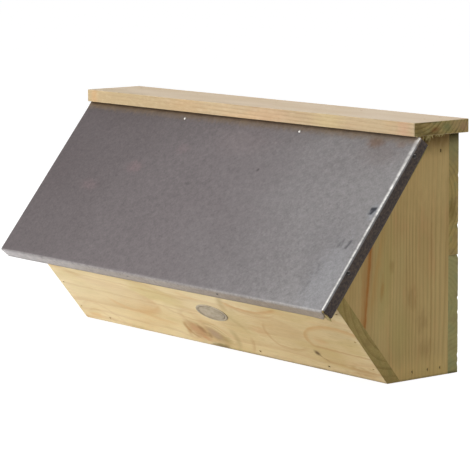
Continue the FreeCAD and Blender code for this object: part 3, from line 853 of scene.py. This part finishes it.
def sheetFinish():
    material, start = newFinish("dull_zinc", {"Specular IOR Level": 0.3})
    place = spotOn(start, roofPlace)
    x, y, z = place.axes()
    cloud = place.scaled((0.011, 0.016, 0.016)).speckle(3)
    mottle = place.scaled((0.13, 0.17, 0.17)).speckle(4, 0.6)
    fleck = place.scaled((0.36, 0.4, 0.4)).speckle(3, 0.6)
    grit = place.scaled((0.8, 0.9, 0.9)).speckle(2, 0.6)
    ragged = place.scaled((0.3, 0.3, 0.3)).speckle(3) - 0.5
    turned = start.node("CombineXYZ", None, {0: x * 0.86 + y * 0.5, 1: y * 0.86 - x * 0.5, 2: z})
    streak = turned.scaled((0.09, 0.8, 0.8)).speckle(3, 0.6)  # rolling marks, slanting over the sheet
    # painted sheen: the flat lightens to the right and downwards, as a reflection on it would
    light = x * 0.0021 - y * 0.0004 + 0.4 + (cloud - 0.5) * 0.3
    face = light.step(-0.15, 0.5).between(sheet["toneDark"], sheet["tone"])
    face = face.mix(light.step(0.4, 1.0), sheet["toneLight"])
    for mark in sheet["marks"]:
        reach = around(x, y, mark)[0] + ragged * 0.9
        face = face.mix((1 - reach.step(0.2, 1)) * mark["strength"], mark["tone"])
    for stroke in sheet["strokes"]:
        face = face.mix(grainLine(x + ragged * 1.2, y + ragged * 1.2, stroke), stroke["tone"])
    shelter = (y + ragged * 8).step(-11, -2)  # a brown band under the top board: a stain run from under it, with painted shade and reflection of the board
    face = face.mix(shelter * (0.35 + 0.5 * cloud), sheet["rustAndShadeTone"])
    bend = start.carried("bend").step(0.45, 0.95)
    side = start.carried("sideFold").step(0.4, 0.9)
    frontFold = start.carried("frontFold")
    front = frontFold.step(0, 0.9)
    dull = frontFold.step(0.05, 0.3) * (1 - 0.7 * x.step(60, 230))  # the front bend shines at its right end
    # painted reflection of the bright floor on the front fold, lightest at the left
    hem = x.step(-240, -20).between(sheet["frontLeft"], sheet["frontMiddle"])
    hem = hem.mix(x.step(-20, 200), sheet["frontRight"])
    blotch = place.scaled((0.4, 0.4, 0.5)).shifted((3, 9, 4)).speckle(4, 0.65)
    # the side folds' darker tones are painted shade
    flank = blotch.step(0.38, 0.62).between(sheet["sideDark"], sheet["sideTone"])
    # a dark ring round each side tack: grime, with painted shade of its dimple
    for tack in rightTacks:
        reach = around(y, z, {"at": (tack.y / mm, tack.z / mm), "size": (3, 3)})[0]
        flank = flank.mix((1 - reach.step(0.4, 1)) * 0.8, sheet["grimeAndShade"])
    face = face.mix(side, flank).mix(front, hem)
    # rubbed metal on the bends and on the flat beside the right bend, partly a painted highlight
    rubbedAndLit = bend * (mottle * 1.5 + cloud * 0.5 - 0.25).do("MINIMUM", 1).do("MAXIMUM", 0.1)
    rubbedAndLit = rubbedAndLit * (1 - 0.3 * y.step(-50, -5))  # less under the top board, in its shade
    face = face.mix(rubbedAndLit, sheet["bendTone"])
    tint = 1 + 0.6 * (mottle - 0.5) + 0.55 * (fleck - 0.5) + 0.55 * (grit - 0.5) + 0.2 * (streak - 0.5)
    face = face.mix(1, tint, "MULTIPLY")
    roughness = 0.46 + 0.2 * mottle + 0.12 * (grit - 0.5) - 0.12 * bend + 0.3 * dull
    height = mottle * 0.5 + fleck * 0.2 + grit * 0.25 + streak * 0.1
    links = {"Base Color": face, "Roughness": roughness, "Metallic": (0.2 + 0.6 * rubbedAndLit) * (1 - dull)}
    return feed(material, links, height, 0.09 * mm)


tackGap = 15 * mm  # points closer than this are of one tack


def tackPlaces(node, place, axis):  # the middles of the heads, on the side that a local axis points to
    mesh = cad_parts[node].data
    inward = place.inverted()
    spots = sorted((inward @ vert.co for vert in mesh.vertices), key=lambda spot: spot.x + spot.y * 0.01)
    groups = []
    for spot in sorted(spots, key=lambda spot: (spot - spots[0]).length):
        for group in groups:
            if (group[0] - spot).length < tackGap:
                group.append(spot)
                break
        else:
            groups.append([spot])
    places = []
    for group in groups:
        low = Vector([min(spot[index] for spot in group) for index in range(3)])
        high = Vector([max(spot[index] for spot in group) for index in range(3)])
        middle = (low + high) / 2
        middle[abs(axis) - 1] = high[abs(axis) - 1] if axis > 0 else low[abs(axis) - 1]
        places.append(middle)
    return places


topTacks = tackPlaces("sheet_top_tacks", roofPlace, 3)
frontTacks = tackPlaces("sheet_front_tacks", roofPlace, -2)
leftTacks = tackPlaces("sheet_left_tacks", roofPlace, -1)
rightTacks = tackPlaces("sheet_right_tacks", roofPlace, 1)


def spaced(low, high, extra):  # even lines from low to high, with a few more where they are needed
    count = round((high - low) / sheet["gap"])
    lines = [low + (high - low) * index / count for index in range(count + 1)]
    lines = sorted(lines + [value for value in extra if low < value < high])
    kept = [lines[0]]
    for value in lines[1:]:
        if value - kept[-1] > sheet["closest"]:
            kept.append(value)
    kept[-1] = high
    return kept


def foldSheet():
    thickness = sheet["thickness"]
    radius = sheet["bendRadius"]
    steps = sheet["bendSteps"]
    halfLength = roofTop.x / mm + thickness
    width = roofWidth / mm + thickness - sheet["clearance"]
    sideDepth = boardThickness / mm + thickness - radius  # of the folds, past their bends
    frontDepth = boardThickness / mm + thickness - sheet["frontRadius"]
    sideX = halfLength - radius
    frontY = sheet["frontRadius"] - width
    near = sheet["tackLines"]
    extraX = [tack.x / mm + offset for tack in topTacks + frontTacks for offset in near]
    extraX += [sign * (sideX - offset) for sign in (-1, 1) for offset in sheet["sideLines"]]
    extraY = [tack.y / mm + offset for tack in topTacks + leftTacks for offset in near]
    extraY += [frontY + offset for offset in sheet["frontLines"]]
    columns = spaced(-sideX, sideX, extraX)
    rows = spaced(frontY, 0, extraY)[::-1]

    bm = bmesh.new()
    bend = bm.verts.layers.float.new("bend")
    sideFold = bm.verts.layers.float.new("sideFold")
    frontFold = bm.verts.layers.float.new("frontFold")

    def lift(x, y):  # waves of the flat sheet, drawn down at its tacks
        alongScale, downScale = sheet["waveScale"]
        rise = sheet["wave"] * (noise.noise(Vector((x * alongScale, y * downScale, 4.1))) * 0.5 + 0.5)
        run = sheet["waveRun"]
        edge = min(1, (sideX - abs(x)) / run, (y - frontY) / run, -y / run + sheet["waveAtTop"])
        rise *= max(0, edge)
        rise += sheet["spring"] * max(0, 1 + y / sheet["springRun"])
        for tack in topTacks:
            away = (Vector((x, y)) - tack.xy / mm).length / sheet["dimpleReach"]
            rise -= sheet["dimple"] * math.exp(-away * away)
        return rise

    def vertAt(x, y, z, marks=()):
        vert = bm.verts.new(Vector((x, y, z)) * mm)
        for layer, value in marks:
            vert[layer] = value
        return vert

    def sideStrip(sign, y):  # from the bend's start down to the fold's edge
        strip = []
        lean = math.radians(sheet["sideLean"] * noise.noise(Vector((y * sheet["sideStray"], sign * 5.0, 0))))
        full = math.pi / 2 - lean
        for index in range(1, steps + 1):
            angle = full * index / steps
            x = sideX + radius * math.sin(angle)
            z = thickness - radius + radius * math.cos(angle)
            strip.append((x, z, sheet["rubbedAndLitBend"][index - 1], sheet["sideShare"] * index / steps))
        startX, startZ = strip[-1][0], strip[-1][1]
        depth = sideDepth
        if sign > 0:
            depth *= 1 - sheet["taper"] * max(0, 1 + y / sheet["taperRun"])
        for drop in (depth * share for share in sheet["dropShares"]):
            dent = 0
            for tack in (rightTacks if sign > 0 else leftTacks):
                away = Vector((y - tack.y / mm, startZ - drop - tack.z / mm)).length / sheet["sideReach"]
                dent += 0.5 * sheet["dimple"] * math.exp(-away * away)
            strip.append((startX + drop * math.cos(full) - dent, startZ - drop * math.sin(full), 0, 1))
        return [vertAt(sign * x, y, z, ((bend, worn), (sideFold, dark))) for x, z, worn, dark in strip]

    def shoulder(x, y):  # the right bend's rubbed metal and painted highlight reach a little way onto the flat, furthest at the top
        fade = sheet["shoulderFade"] - y * sheet["shoulderGain"]
        return max(0, sheet["shoulder"] - (sideX - x) * fade)

    def frontBend(x):  # tight at the left corner
        loose = min(1, (sideX + x) / sheet["cornerRun"])
        return sheet["cornerRadius"] + (sheet["frontRadius"] - sheet["cornerRadius"]) * loose

    grid = []
    for y in rows:
        line = []
        for x in columns:
            level = frontBend(x) - width if y == rows[-1] else y
            line.append(vertAt(x, level, thickness + lift(x, y), ((bend, shoulder(x, y)),)))
        grid.append(line)
    rights = [sideStrip(1, y) for y in rows]
    lefts = [sideStrip(-1, y) for y in rows]

    def quads(one, two, flip=False):
        for index in range(len(one) - 1):
            corners = [one[index], two[index], two[index + 1], one[index + 1]]
            bm.faces.new(corners[::-1] if flip else corners)

    for index in range(len(rows) - 1):
        quads(grid[index], grid[index + 1])
        quads([grid[index][-1]] + rights[index], [grid[index + 1][-1]] + rights[index + 1])
        quads([grid[index][0]] + lefts[index], [grid[index + 1][0]] + lefts[index + 1], True)
    for sign, strips in ((1, rights), (-1, lefts)):  # the side folds run on past the open corners
        tail = sideStrip(sign, sheet["tailGap"] - width)[steps:]
        for vert, bite in zip(tail, sheet["tailBites"]):
            vert.co.y += bite * mm
        quads(strips[-1][steps:], tail, sign < 0)

    def flare(x):
        right = max(0, 1 - (sideX - x) / sheet["flareRunRight"])
        left = max(0, 1 - (sideX + x) / sheet["flareRunLeft"])
        ease = sheet["flareEase"]
        return math.radians(sheet["flareRight"] * right ** ease + sheet["flareLeft"] * left ** ease)

    def hemAt(x, drop):  # slanting ends: the last columns draw in together
        free = sideX - sheet["snipRun"]
        snipStart = frontDepth - (sheet["snipRight"] if x > 0 else sheet["snipLeft"])
        if abs(x) <= free or drop <= snipStart:
            return x
        reach = sideX - (drop - snipStart)
        return math.copysign(free + (abs(x) - free) * (reach - free) / (sideX - free), x)

    hems = []
    for x in columns:
        stray = sheet["frontLean"] * noise.noise(Vector((x * sheet["frontStray"], 9.0, 0)))
        full = math.pi / 2 - flare(x) + math.radians(stray)
        strip = []
        turnRadius = frontBend(x)
        for index in range(1, steps + 1):
            angle = full * index / steps
            y = turnRadius - width - turnRadius * math.sin(angle)
            z = thickness - turnRadius + turnRadius * math.cos(angle)
            marks = ((bend, sheet["frontRubAndSheen"]), (frontFold, sheet["frontShare"] * index / steps))
            strip.append(vertAt(x, y, z, marks))
        startY = strip[-1].co.y / mm
        startZ = strip[-1].co.z / mm
        for drop in (frontDepth * share for share in sheet["dropShares"]):
            y = startY - drop * math.cos(full)
            z = startZ - drop * math.sin(full)
            strip.append(vertAt(hemAt(x, drop), y, z, ((frontFold, 1),)))
        hems.append(strip)
    for index in range(len(columns) - 1):
        one = [grid[-1][index]] + hems[index]
        two = [grid[-1][index + 1]] + hems[index + 1]
        quads(one, two, True)
    for vert in [vert for vert in bm.verts if not vert.link_faces]:
        bm.verts.remove(vert)
    for face in bm.faces:
        face.smooth = True
    bm.normal_update()
    piece = addPiece("folded_roof_sheet", bm, sheetFinish(), ["roof_sheet"], roofPlace)
    body = piece.modifiers.new("body", "SOLIDIFY")
    body.thickness = thickness * mm
    body.offset = -1
    body.use_even_offset = True
    print("roof sheet:", len(piece.data.polygons), "faces")


foldSheet()


# one tack steel in lit and shaded copies: painted lighter on the top tacks, which face the light
steel = {
    "litTone": (214, 210, 204),
    "dull": (104, 98, 94),
    "rust": (96, 70, 50),
}


def steelFinish(name, tone, rust, metallic, heart=None, fade=None, filler=None):
    material, start = newFinish(name, {"Metallic": metallic})
    place = start.node("TexCoord", output="Object").scaled(toMillimetres)
    cloud = place.scaled((0.5, 0.5, 0.5)).speckle(3)
    grit = place.scaled((3, 3, 3)).speckle(3, 0.6)
    colour = (cloud.step(0.45, 0.7) * rust).between(tone, steel["rust"])
    if heart:  # a dark middle, painted shade, inside a rim with painted glints at its top and bottom
        colour = colour.mix(1 - start.carried("rim").step(0.5, 0.9), heart)
    if fade:  # heads set deeper towards the left, with filler over them
        colour = colour.mix((1 - place.axes()[0].step(*fade["from"])) * fade["share"], fade["tone"])
    if filler:  # only a dot of each head shows between the filler above and below it
        off = (place.axes()[2] - filler["level"]).do("ABSOLUTE")
        colour = colour.mix(off.step(filler["half"] - 0.2, filler["half"] + 0.2), filler["tone"])
    colour = colour.mix(1, 0.8 + 0.4 * grit, "MULTIPLY")
    return feed(material, {"Base Color": colour, "Roughness": 0.28 + 0.3 * grit}, grit, 0.05 * mm)


litTackSteel = steelFinish("lit_tack_steel", steel["litTone"], 0.1, 0.5)
frontSteel = steelFinish("front_tack_steel", steel["dull"], 0.4, 0.7,
                         fade={"from": (-40, 20), "share": 0.85, "tone": (168, 162, 158)})
sideSteel = steelFinish("side_tack_steel", (150, 144, 138), 0.2, 0.4, heart=(30, 26, 25))
bradSteel = steelFinish("set_brad_steel", (72, 58, 44), 0.8, 0.3,
                        fade={"from": (-20, 180), "share": 0.9, "tone": (214, 174, 120)})


def circle(count):
    angles = [2 * math.pi * index / count for index in range(count)]
    return [(math.cos(angle), math.sin(angle)) for angle in angles]


def skin(bm, rings, tip):  # faces from ring to ring and up to the tip, with a flat base
    count = len(rings[0])
    for low, high in zip(rings, rings[1:]):
        for index in range(count):
            after = (index + 1) % count
            bm.faces.new((low[index], low[after], high[after], high[index]))
    for index in range(count):
        bm.faces.new((rings[-1][index], rings[-1][(index + 1) % count], tip))
    bm.faces.new(rings[0][::-1])


def smoothSides(bm):  # all but the flat bases
    for face in bm.faces:
        face.smooth = len(face.verts) < 5


domePoints = 28
domeProfile = [(1.0, -0.25), (1.0, 0.15), (0.93, 0.42), (0.74, 0.74), (0.45, 0.94)]  # of radius and height


def addDome(bm, middle, axis, radius, height, rubbedAndLit=None):  # a round head, on the surface at its middle
    turn = axis.to_track_quat("Z", "Y").to_matrix()
    rim = bm.verts.layers.float.get("rim") or bm.verts.layers.float.new("rim")
    rings = []
    for reach, rise in domeProfile:
        ring = []
        for cosine, sine in circle(domePoints):
            spot = turn @ Vector((radius * reach * cosine, radius * reach * sine, height * rise))
            vert = bm.verts.new((middle + spot) * mm)
            vert[rim] = reach * abs(spot.normalized().dot(rubbedAndLit)) if rubbedAndLit else reach
            ring.append(vert)
        rings.append(ring)
    skin(bm, rings, bm.verts.new((middle + turn @ Vector((0, 0, height))) * mm))
    smoothSides(bm)


tackRows = (
    ("tacks_top", "sheet_top_tacks", topTacks, Vector((0, 0, 1)), litTackSteel, 1.4, 0.9),
    ("tacks_front", "sheet_front_tacks", frontTacks, Vector((0, -1, 0)), frontSteel, 0.9, 0.6),
    ("tacks_left", "sheet_left_tacks", leftTacks, Vector((-1, 0, 0)), sideSteel, 1.8, 0.8),
    ("tacks_right", "sheet_right_tacks", rightTacks, Vector((1, 0, 0)), sideSteel, 1.8, 0.8),
)
upright = Vector((0, math.sin(slope), math.cos(slope)))  # in the roof's frame; the side tacks' painted glints lie along it
for name, node, places, axis, finish, radius, height in tackRows:
    bm = bmesh.new()
    for spot in places:
        addDome(bm, spot / mm - axis * height, axis, radius, height, upright)
    addPiece(name, bm, finish, [node], roofPlace)
    print("tacks:", name, [tuple(round(value / mm, 1) for value in spot) for spot in places])


tag = {
    "rim": 0.22,  # how far the pressed rim stands up
    "groove": 0.2,  # and how deep the ring inside it is
    "crown": 0.2,  # rise of the middle of the field
    "stretch": 2,  # how much wider the rim is at the oval's ends
    "thickness": 0.5,
    "rimWidth": 2.7,
    "dents": 0.05,
    "points": 72,  # around the oval
    "field": (182, 170, 150),
    "shade": (158, 146, 124),
    "grooveTone": (112, 100, 80),
    "pinRadius": 1.1,
    "pinHeight": 0.5,
    "pinTone": (150, 142, 130),
}


def tagFinish():
    material, start = newFinish("worn_aluminium", {"Metallic": 0.25, "Specular IOR Level": 0.4})
    place = spotOn(start, panelPlace)
    x, y, z = place.axes()
    cloud = place.scaled((0.12, 0.2, 0.2)).speckle(3)
    turned = start.node("CombineXYZ", None, {0: x * 0.8 + y * 0.6, 1: y * 0.8 - x * 0.6, 2: z})
    scratch = turned.scaled((0.25, 2.4, 2.4)).speckle(3, 0.7)
    groove = start.carried("groove")
    colour = cloud.step(0.3, 0.7).between(tag["field"], tag["shade"])
    sunk = groove.step(0.2, 0.9) * (0.15 + 0.6 * cloud + 0.5 * x.step(26, 40))
    colour = colour.mix(sunk, tag["grooveTone"])
    colour = colour.mix(1, 0.86 + 0.28 * scratch, "MULTIPLY")
    roughness = 0.4 + 0.2 * cloud + 0.12 * scratch
    return feed(material, {"Base Color": colour, "Roughness": roughness}, scratch * 0.6 + cloud, 0.06 * mm)


def pressTag():
    spots = [panelPlace.inverted() @ vert.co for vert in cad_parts["oval_tag"].data.vertices]
    lowX, highX = min(spot.x for spot in spots) / mm, max(spot.x for spot in spots) / mm
    lowY, highY = min(spot.y for spot in spots) / mm, max(spot.y for spot in spots) / mm
    middle = Vector(((lowX + highX) / 2, (lowY + highY) / 2, 0))
    halfX, halfY = (highX - lowX) / 2, (highY - lowY) / 2
    thickness, rim, crown, groove = tag["thickness"], tag["rim"], tag["crown"], tag["groove"]
    profile = [  # distance in from the edge, height, and how much of the groove's tone
        (0, 0.0, 0.6),
        (0, 0.3, 0.4),
        (0.3, thickness + rim * 0.5, 0),
        (0.8, thickness + rim, 0),
        (1.3, thickness + rim * 0.4, 0.3),
        (1.7, thickness - groove, 1),
        (2.1, thickness - groove * 0.8, 1),
        (tag["rimWidth"], thickness, 0),
    ]
    outline = circle(tag["points"])
    bm = bmesh.new()
    layer = bm.verts.layers.float.new("groove")
    rings = []
    for inset, height, worn in profile:
        ring = []
        for cosine, sine in outline:
            spot = Vector(((halfX - inset * tag["stretch"]) * cosine, (halfY - inset) * sine, height))
            vert = bm.verts.new((middle + spot) * mm)
            vert[layer] = worn
            ring.append(vert)
        rings.append(ring)
    fieldX = halfX - tag["rimWidth"] * tag["stretch"]
    fieldY = halfY - tag["rimWidth"]
    for share in (0.75, 0.5, 0.25):
        ring = []
        for cosine, sine in outline:
            spot = Vector((fieldX * share * cosine, fieldY * share * sine, 0))
            spot.z = thickness + crown * (1 - share * share)
            spot.z += tag["dents"] * noise.noise(spot * 0.35)
            ring.append(bm.verts.new((middle + spot) * mm))
        rings.append(ring)
    skin(bm, rings, bm.verts.new((middle + Vector((0, 0, thickness + crown))) * mm))
    smoothSides(bm)
    addPiece("pressed_tag", bm, tagFinish(), ["oval_tag"], panelPlace)
    bm = bmesh.new()
    for spot in tackPlaces("tag_pins", panelPlace, 3):
        base = Vector((spot.x, spot.y, 0)) / mm + Vector((0, 0, thickness))
        addDome(bm, base, Vector((0, 0, 1)), tag["pinRadius"], tag["pinHeight"])
    pins = steelFinish("tag_pin_steel", tag["pinTone"], 0.2, 0.4)
    addPiece("tag_pin_heads", bm, pins, ["tag_pins"], panelPlace)
    print("tag and pins made")


pressTag()

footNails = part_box("right_floor_nails")
footSteel = steelFinish("filled_brad_steel", (52, 42, 32), 0.5, 0.3,
                        filler={"level": (footNails[0].z + footNails[1].z) / 2 / mm, "half": 0.7,
                                "tone": (216, 186, 126)})
faintSteel = steelFinish("faint_brad_steel", (176, 144, 98), 0.3, 0)
filledBrads = {
    "left_floor_nails": footSteel,
    "right_floor_nails": footSteel,
    "panel_cheek_nails": faintSteel,
}
brads = ["left_floor_nails", "right_floor_nails", "left_rail_nail", "right_rail_nail", "panel_floor_nails",
         "panel_cheek_nails", "roof_board_nails", "top_board_nails", "lower_plank_nails",
         "upper_plank_nails"]
for node in brads:
    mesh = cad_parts[node].data
    mesh.materials.clear()
    mesh.materials.append(filledBrads.get(node, bradSteel))
print("brads:", len(brads), "rows")


splinters = {
    "tone": (212, 198, 142),
    "deep": (140, 122, 70),
    "tufts": [  # along the top board's sawn edge, from its front corner
        {"at": 5, "count": 4, "long": 1.6},
        {"at": 9, "count": 5, "long": 2.4},
        {"at": 13, "count": 6, "long": 6},
        {"at": 16.5, "count": 7, "long": 7},
        {"at": 20, "count": 6, "long": 5},
        {"at": 24, "count": 4, "long": 2},
        {"at": 28, "count": 5, "long": 2.6},
        {"at": 33.5, "count": 6, "long": 2.8},
        {"at": 41, "count": 3, "long": 1.2},
        {"at": 50, "count": 2, "long": 1},
    ],
    "wide": (0.9, 1.8),
    "cornerCount": 22,
    "cornerRun": (0, 4.5),
    "cornerDepth": (-11.5, -6),
    "cornerLong": (1.6, 4),
    "cornerWide": (0.8, 1.6),
    "seed": 41,
    "spread": 2.2,  # of a tuft, along the edge
    "inset": 0.9,  # where the roots lie in the wood
    "sunk": 0.6,
    "profile": ((0, 1), (0.4, 0.8), (0.75, 0.5)),  # of length and thickness
    "flat": (1.3, 0.6),  # a splinter is wider one way
    "bow": 0.18,
}


def splinterFinish():
    material, start = newFinish("torn_fibre", {"Specular IOR Level": 0.2})
    place = start.node("TexCoord", output="Object").scaled(toMillimetres)
    cloud = place.scaled((0.6, 0.6, 0.6)).speckle(2)
    fine = place.scaled((3, 3, 1)).speckle(2)
    colour = cloud.step(0.35, 0.65).between(splinters["tone"], splinters["deep"])
    colour = colour.mix(1, 0.8 + 0.4 * fine, "MULTIPLY")
    return feed(material, {"Base Color": colour, "Roughness": 0.7 + 0.2 * fine}, fine, 0.05 * mm)


def addFibre(bm, root, way, length, width, dice):  # a three-sided splinter that bends and tapers to a point
    side = way.orthogonal().normalized()
    other = way.cross(side)
    bow = (side * dice.uniform(-1, 1) + other * dice.uniform(-1, 1)) * length * splinters["bow"]
    wide, thin = splinters["flat"]
    rings = []
    for share, thick in splinters["profile"]:
        centre = root + way * length * share + bow * share * share
        ring = []
        for cosine, sine in circle(3):
            spot = centre + (side * cosine * wide + other * sine * thin) * width * thick / 2
            ring.append(bm.verts.new(spot * mm))
        rings.append(ring)
    skin(bm, rings, bm.verts.new((root + way * length + bow) * mm))


def tearEdges():
    finish = splinterFinish()
    dice = random.Random(splinters["seed"])
    spread, inset, sunk = splinters["spread"], splinters["inset"], splinters["sunk"]
    low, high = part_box("top_board")
    bm = bmesh.new()
    for tuft in splinters["tufts"]:
        for index in range(tuft["count"]):
            y = low.y / mm + tuft["at"] + dice.uniform(-spread, spread)
            root = Vector((high.x / mm - inset, y, low.z / mm + sunk))
            way = Vector((dice.uniform(-0.1, 0.15), dice.uniform(-0.5, 0.5), -1)).normalized()
            length = tuft["long"] * dice.uniform(0.6, 1.1)
            addFibre(bm, root, way, length, dice.uniform(*splinters["wide"]), dice)
    addPiece("top_plank_saw_fuzz", bm, finish, [])
    bm = bmesh.new()
    corner = roofPlace.inverted() @ Vector((roofTop.x, 0, 0))
    for index in range(splinters["cornerCount"]):
        x = corner.x / mm - dice.uniform(*splinters["cornerRun"])
        root = Vector((x, -roofWidth / mm + sunk, dice.uniform(*splinters["cornerDepth"])))
        way = Vector((dice.uniform(-0.1, 0.3), -dice.uniform(0.05, 0.4), -dice.uniform(0.6, 1))).normalized()
        length = dice.uniform(*splinters["cornerLong"])
        addFibre(bm, root, way, length, dice.uniform(*splinters["cornerWide"]), dice)
    addPiece("roof_corner_splinters", bm, finish, [], roofPlace)
    print("splinters made")


tearEdges()


studio = {
    "floorSize": 60,
    "floorDrop": 0.3,  # millimetres under the box
    "floorBounce": (0.78, 0.78, 0.78, 1),  # what the floor gives back to the object
    "floorGlow": 0.905,  # the floor's own white, as the camera sees it
    "floorShadow": (0.3, 0.3, 0.3, 1),
    "ambientFront": (0.36, 0.36, 0.36, 1),
    "ambientSide": (0.27, 0.27, 0.27, 1),
    "lamps": [
        {"name": "key", "from": (-1.0, -1.35, 0.25), "to": (0, -0.08, 0.08), "size": (1.4, 0.4),
         "power": 24},
        {"name": "overhead", "from": (0.1, 0.45, 1.5), "to": (0, -0.05, 0.15), "size": (1.1, 1.1),
         "power": 13},
    ],
}


def seenDirectly(start):  # 1 where the camera, or a reflection, looks at the stage itself
    path = start.tree.nodes.new("ShaderNodeLightPath")
    names = ("Is Camera Ray", "Is Glossy Ray", "Is Transmission Ray")
    rays = [Wire(start.tree, path.outputs[name]) for name in names]
    return rays[0].do("MAXIMUM", rays[1]).do("MAXIMUM", rays[2])


def setStage():
    world = bpy.data.worlds.new("studio")
    scene.world = world
    world.use_nodes = True
    tree = world.node_tree
    tree.nodes.clear()
    output = tree.nodes.new("ShaderNodeOutputWorld")
    start = Wire(tree, tree.nodes.new("ShaderNodeTexCoord").outputs["Generated"])
    x, y, z = start.axes()
    side = (x * 0.75 + y * 0.45).step(-0.5, 0.75)  # 0 in front and on the left, 1 on the right and behind
    ambient = start.node("Mix", {"data_type": "RGBA"},
                         {0: side, 6: studio["ambientFront"], 7: studio["ambientSide"]}, 2)
    soft = start.node("Background", None, {"Color": ambient, "Strength": 1})
    white = start.node("Background", None, {"Color": (1, 1, 1, 1), "Strength": 1})
    both = start.node("MixShader", None, {0: seenDirectly(start), 1: soft, 2: white})
    tree.links.new(both.socket, output.inputs["Surface"])

    half = studio["floorSize"] / 2
    mesh = bpy.data.meshes.new("pale_floor")
    corners = [(-half, -half, 0), (half, -half, 0), (half, half, 0), (-half, half, 0)]
    mesh.from_pydata(corners, [], [(0, 1, 2, 3)])
    floor = bpy.data.objects.new("pale_floor", mesh)
    floor.location.z = -studio["floorDrop"] * mm
    scene.collection.objects.link(floor)
    material = bpy.data.materials.new("pale_floor")
    material.use_nodes = True
    tree = material.node_tree
    tree.nodes.clear()
    output = tree.nodes.new("ShaderNodeOutputMaterial")
    start = Wire(tree, None)
    bounce = start.node("BsdfDiffuse", None, {"Color": studio["floorBounce"]})
    glow = start.node("Emission", None, {"Color": (1, 1, 1, 1), "Strength": studio["floorGlow"]})
    shadow = start.node("BsdfDiffuse", None, {"Color": studio["floorShadow"]})
    shown = start.node("AddShader", None, {0: glow, 1: shadow})
    both = start.node("MixShader", None, {0: seenDirectly(start), 1: bounce, 2: shown})
    tree.links.new(both.socket, output.inputs["Surface"])
    mesh.materials.append(material)

    for lamp in studio["lamps"]:
        light = bpy.data.lights.new(lamp["name"], "AREA")
        light.energy = lamp["power"]
        light.shape = "RECTANGLE"
        light.size, light.size_y = lamp["size"]
        shining = bpy.data.objects.new(lamp["name"], light)
        shining.location = lamp["from"]
        away = Vector(lamp["from"]) - Vector(lamp["to"])
        shining.rotation_euler = away.to_track_quat("Z", "Y").to_euler()
        scene.collection.objects.link(shining)
    print("stage and lamps set")


setStage()


view = {
    "azimuth": 51.31,
    "elevation": 7.94,
    "roll": -0.29,
    "away": 2.3646,
    "target": (-0.01559, -0.05985, 0.10293),
    "lens": 192.87,
}


def setCamera():
    turn = math.radians(view["azimuth"])
    rise = math.radians(view["elevation"])
    roll = math.radians(view["roll"])
    back = Vector((math.sin(turn) * math.cos(rise), -math.cos(turn) * math.cos(rise), math.sin(rise)))
    right = (-back).cross(alongZ).normalized()
    up = right.cross(-back)
    rightRolled = right * math.cos(roll) + up * math.sin(roll)
    upRolled = up * math.cos(roll) - right * math.sin(roll)
    lens = bpy.data.cameras.new("camera")
    lens.lens = view["lens"]
    lens.sensor_width = 36
    lens.clip_start = 0.05
    lens.clip_end = 200
    camera = bpy.data.objects.new("camera", lens)
    camera.matrix_world = frameOf(Vector(view["target"]) + back * view["away"], rightRolled, upRolled, back)
    scene.collection.objects.link(camera)
    scene.camera = camera
    print("camera set")


setCamera()

bpy.context.view_layer.update()
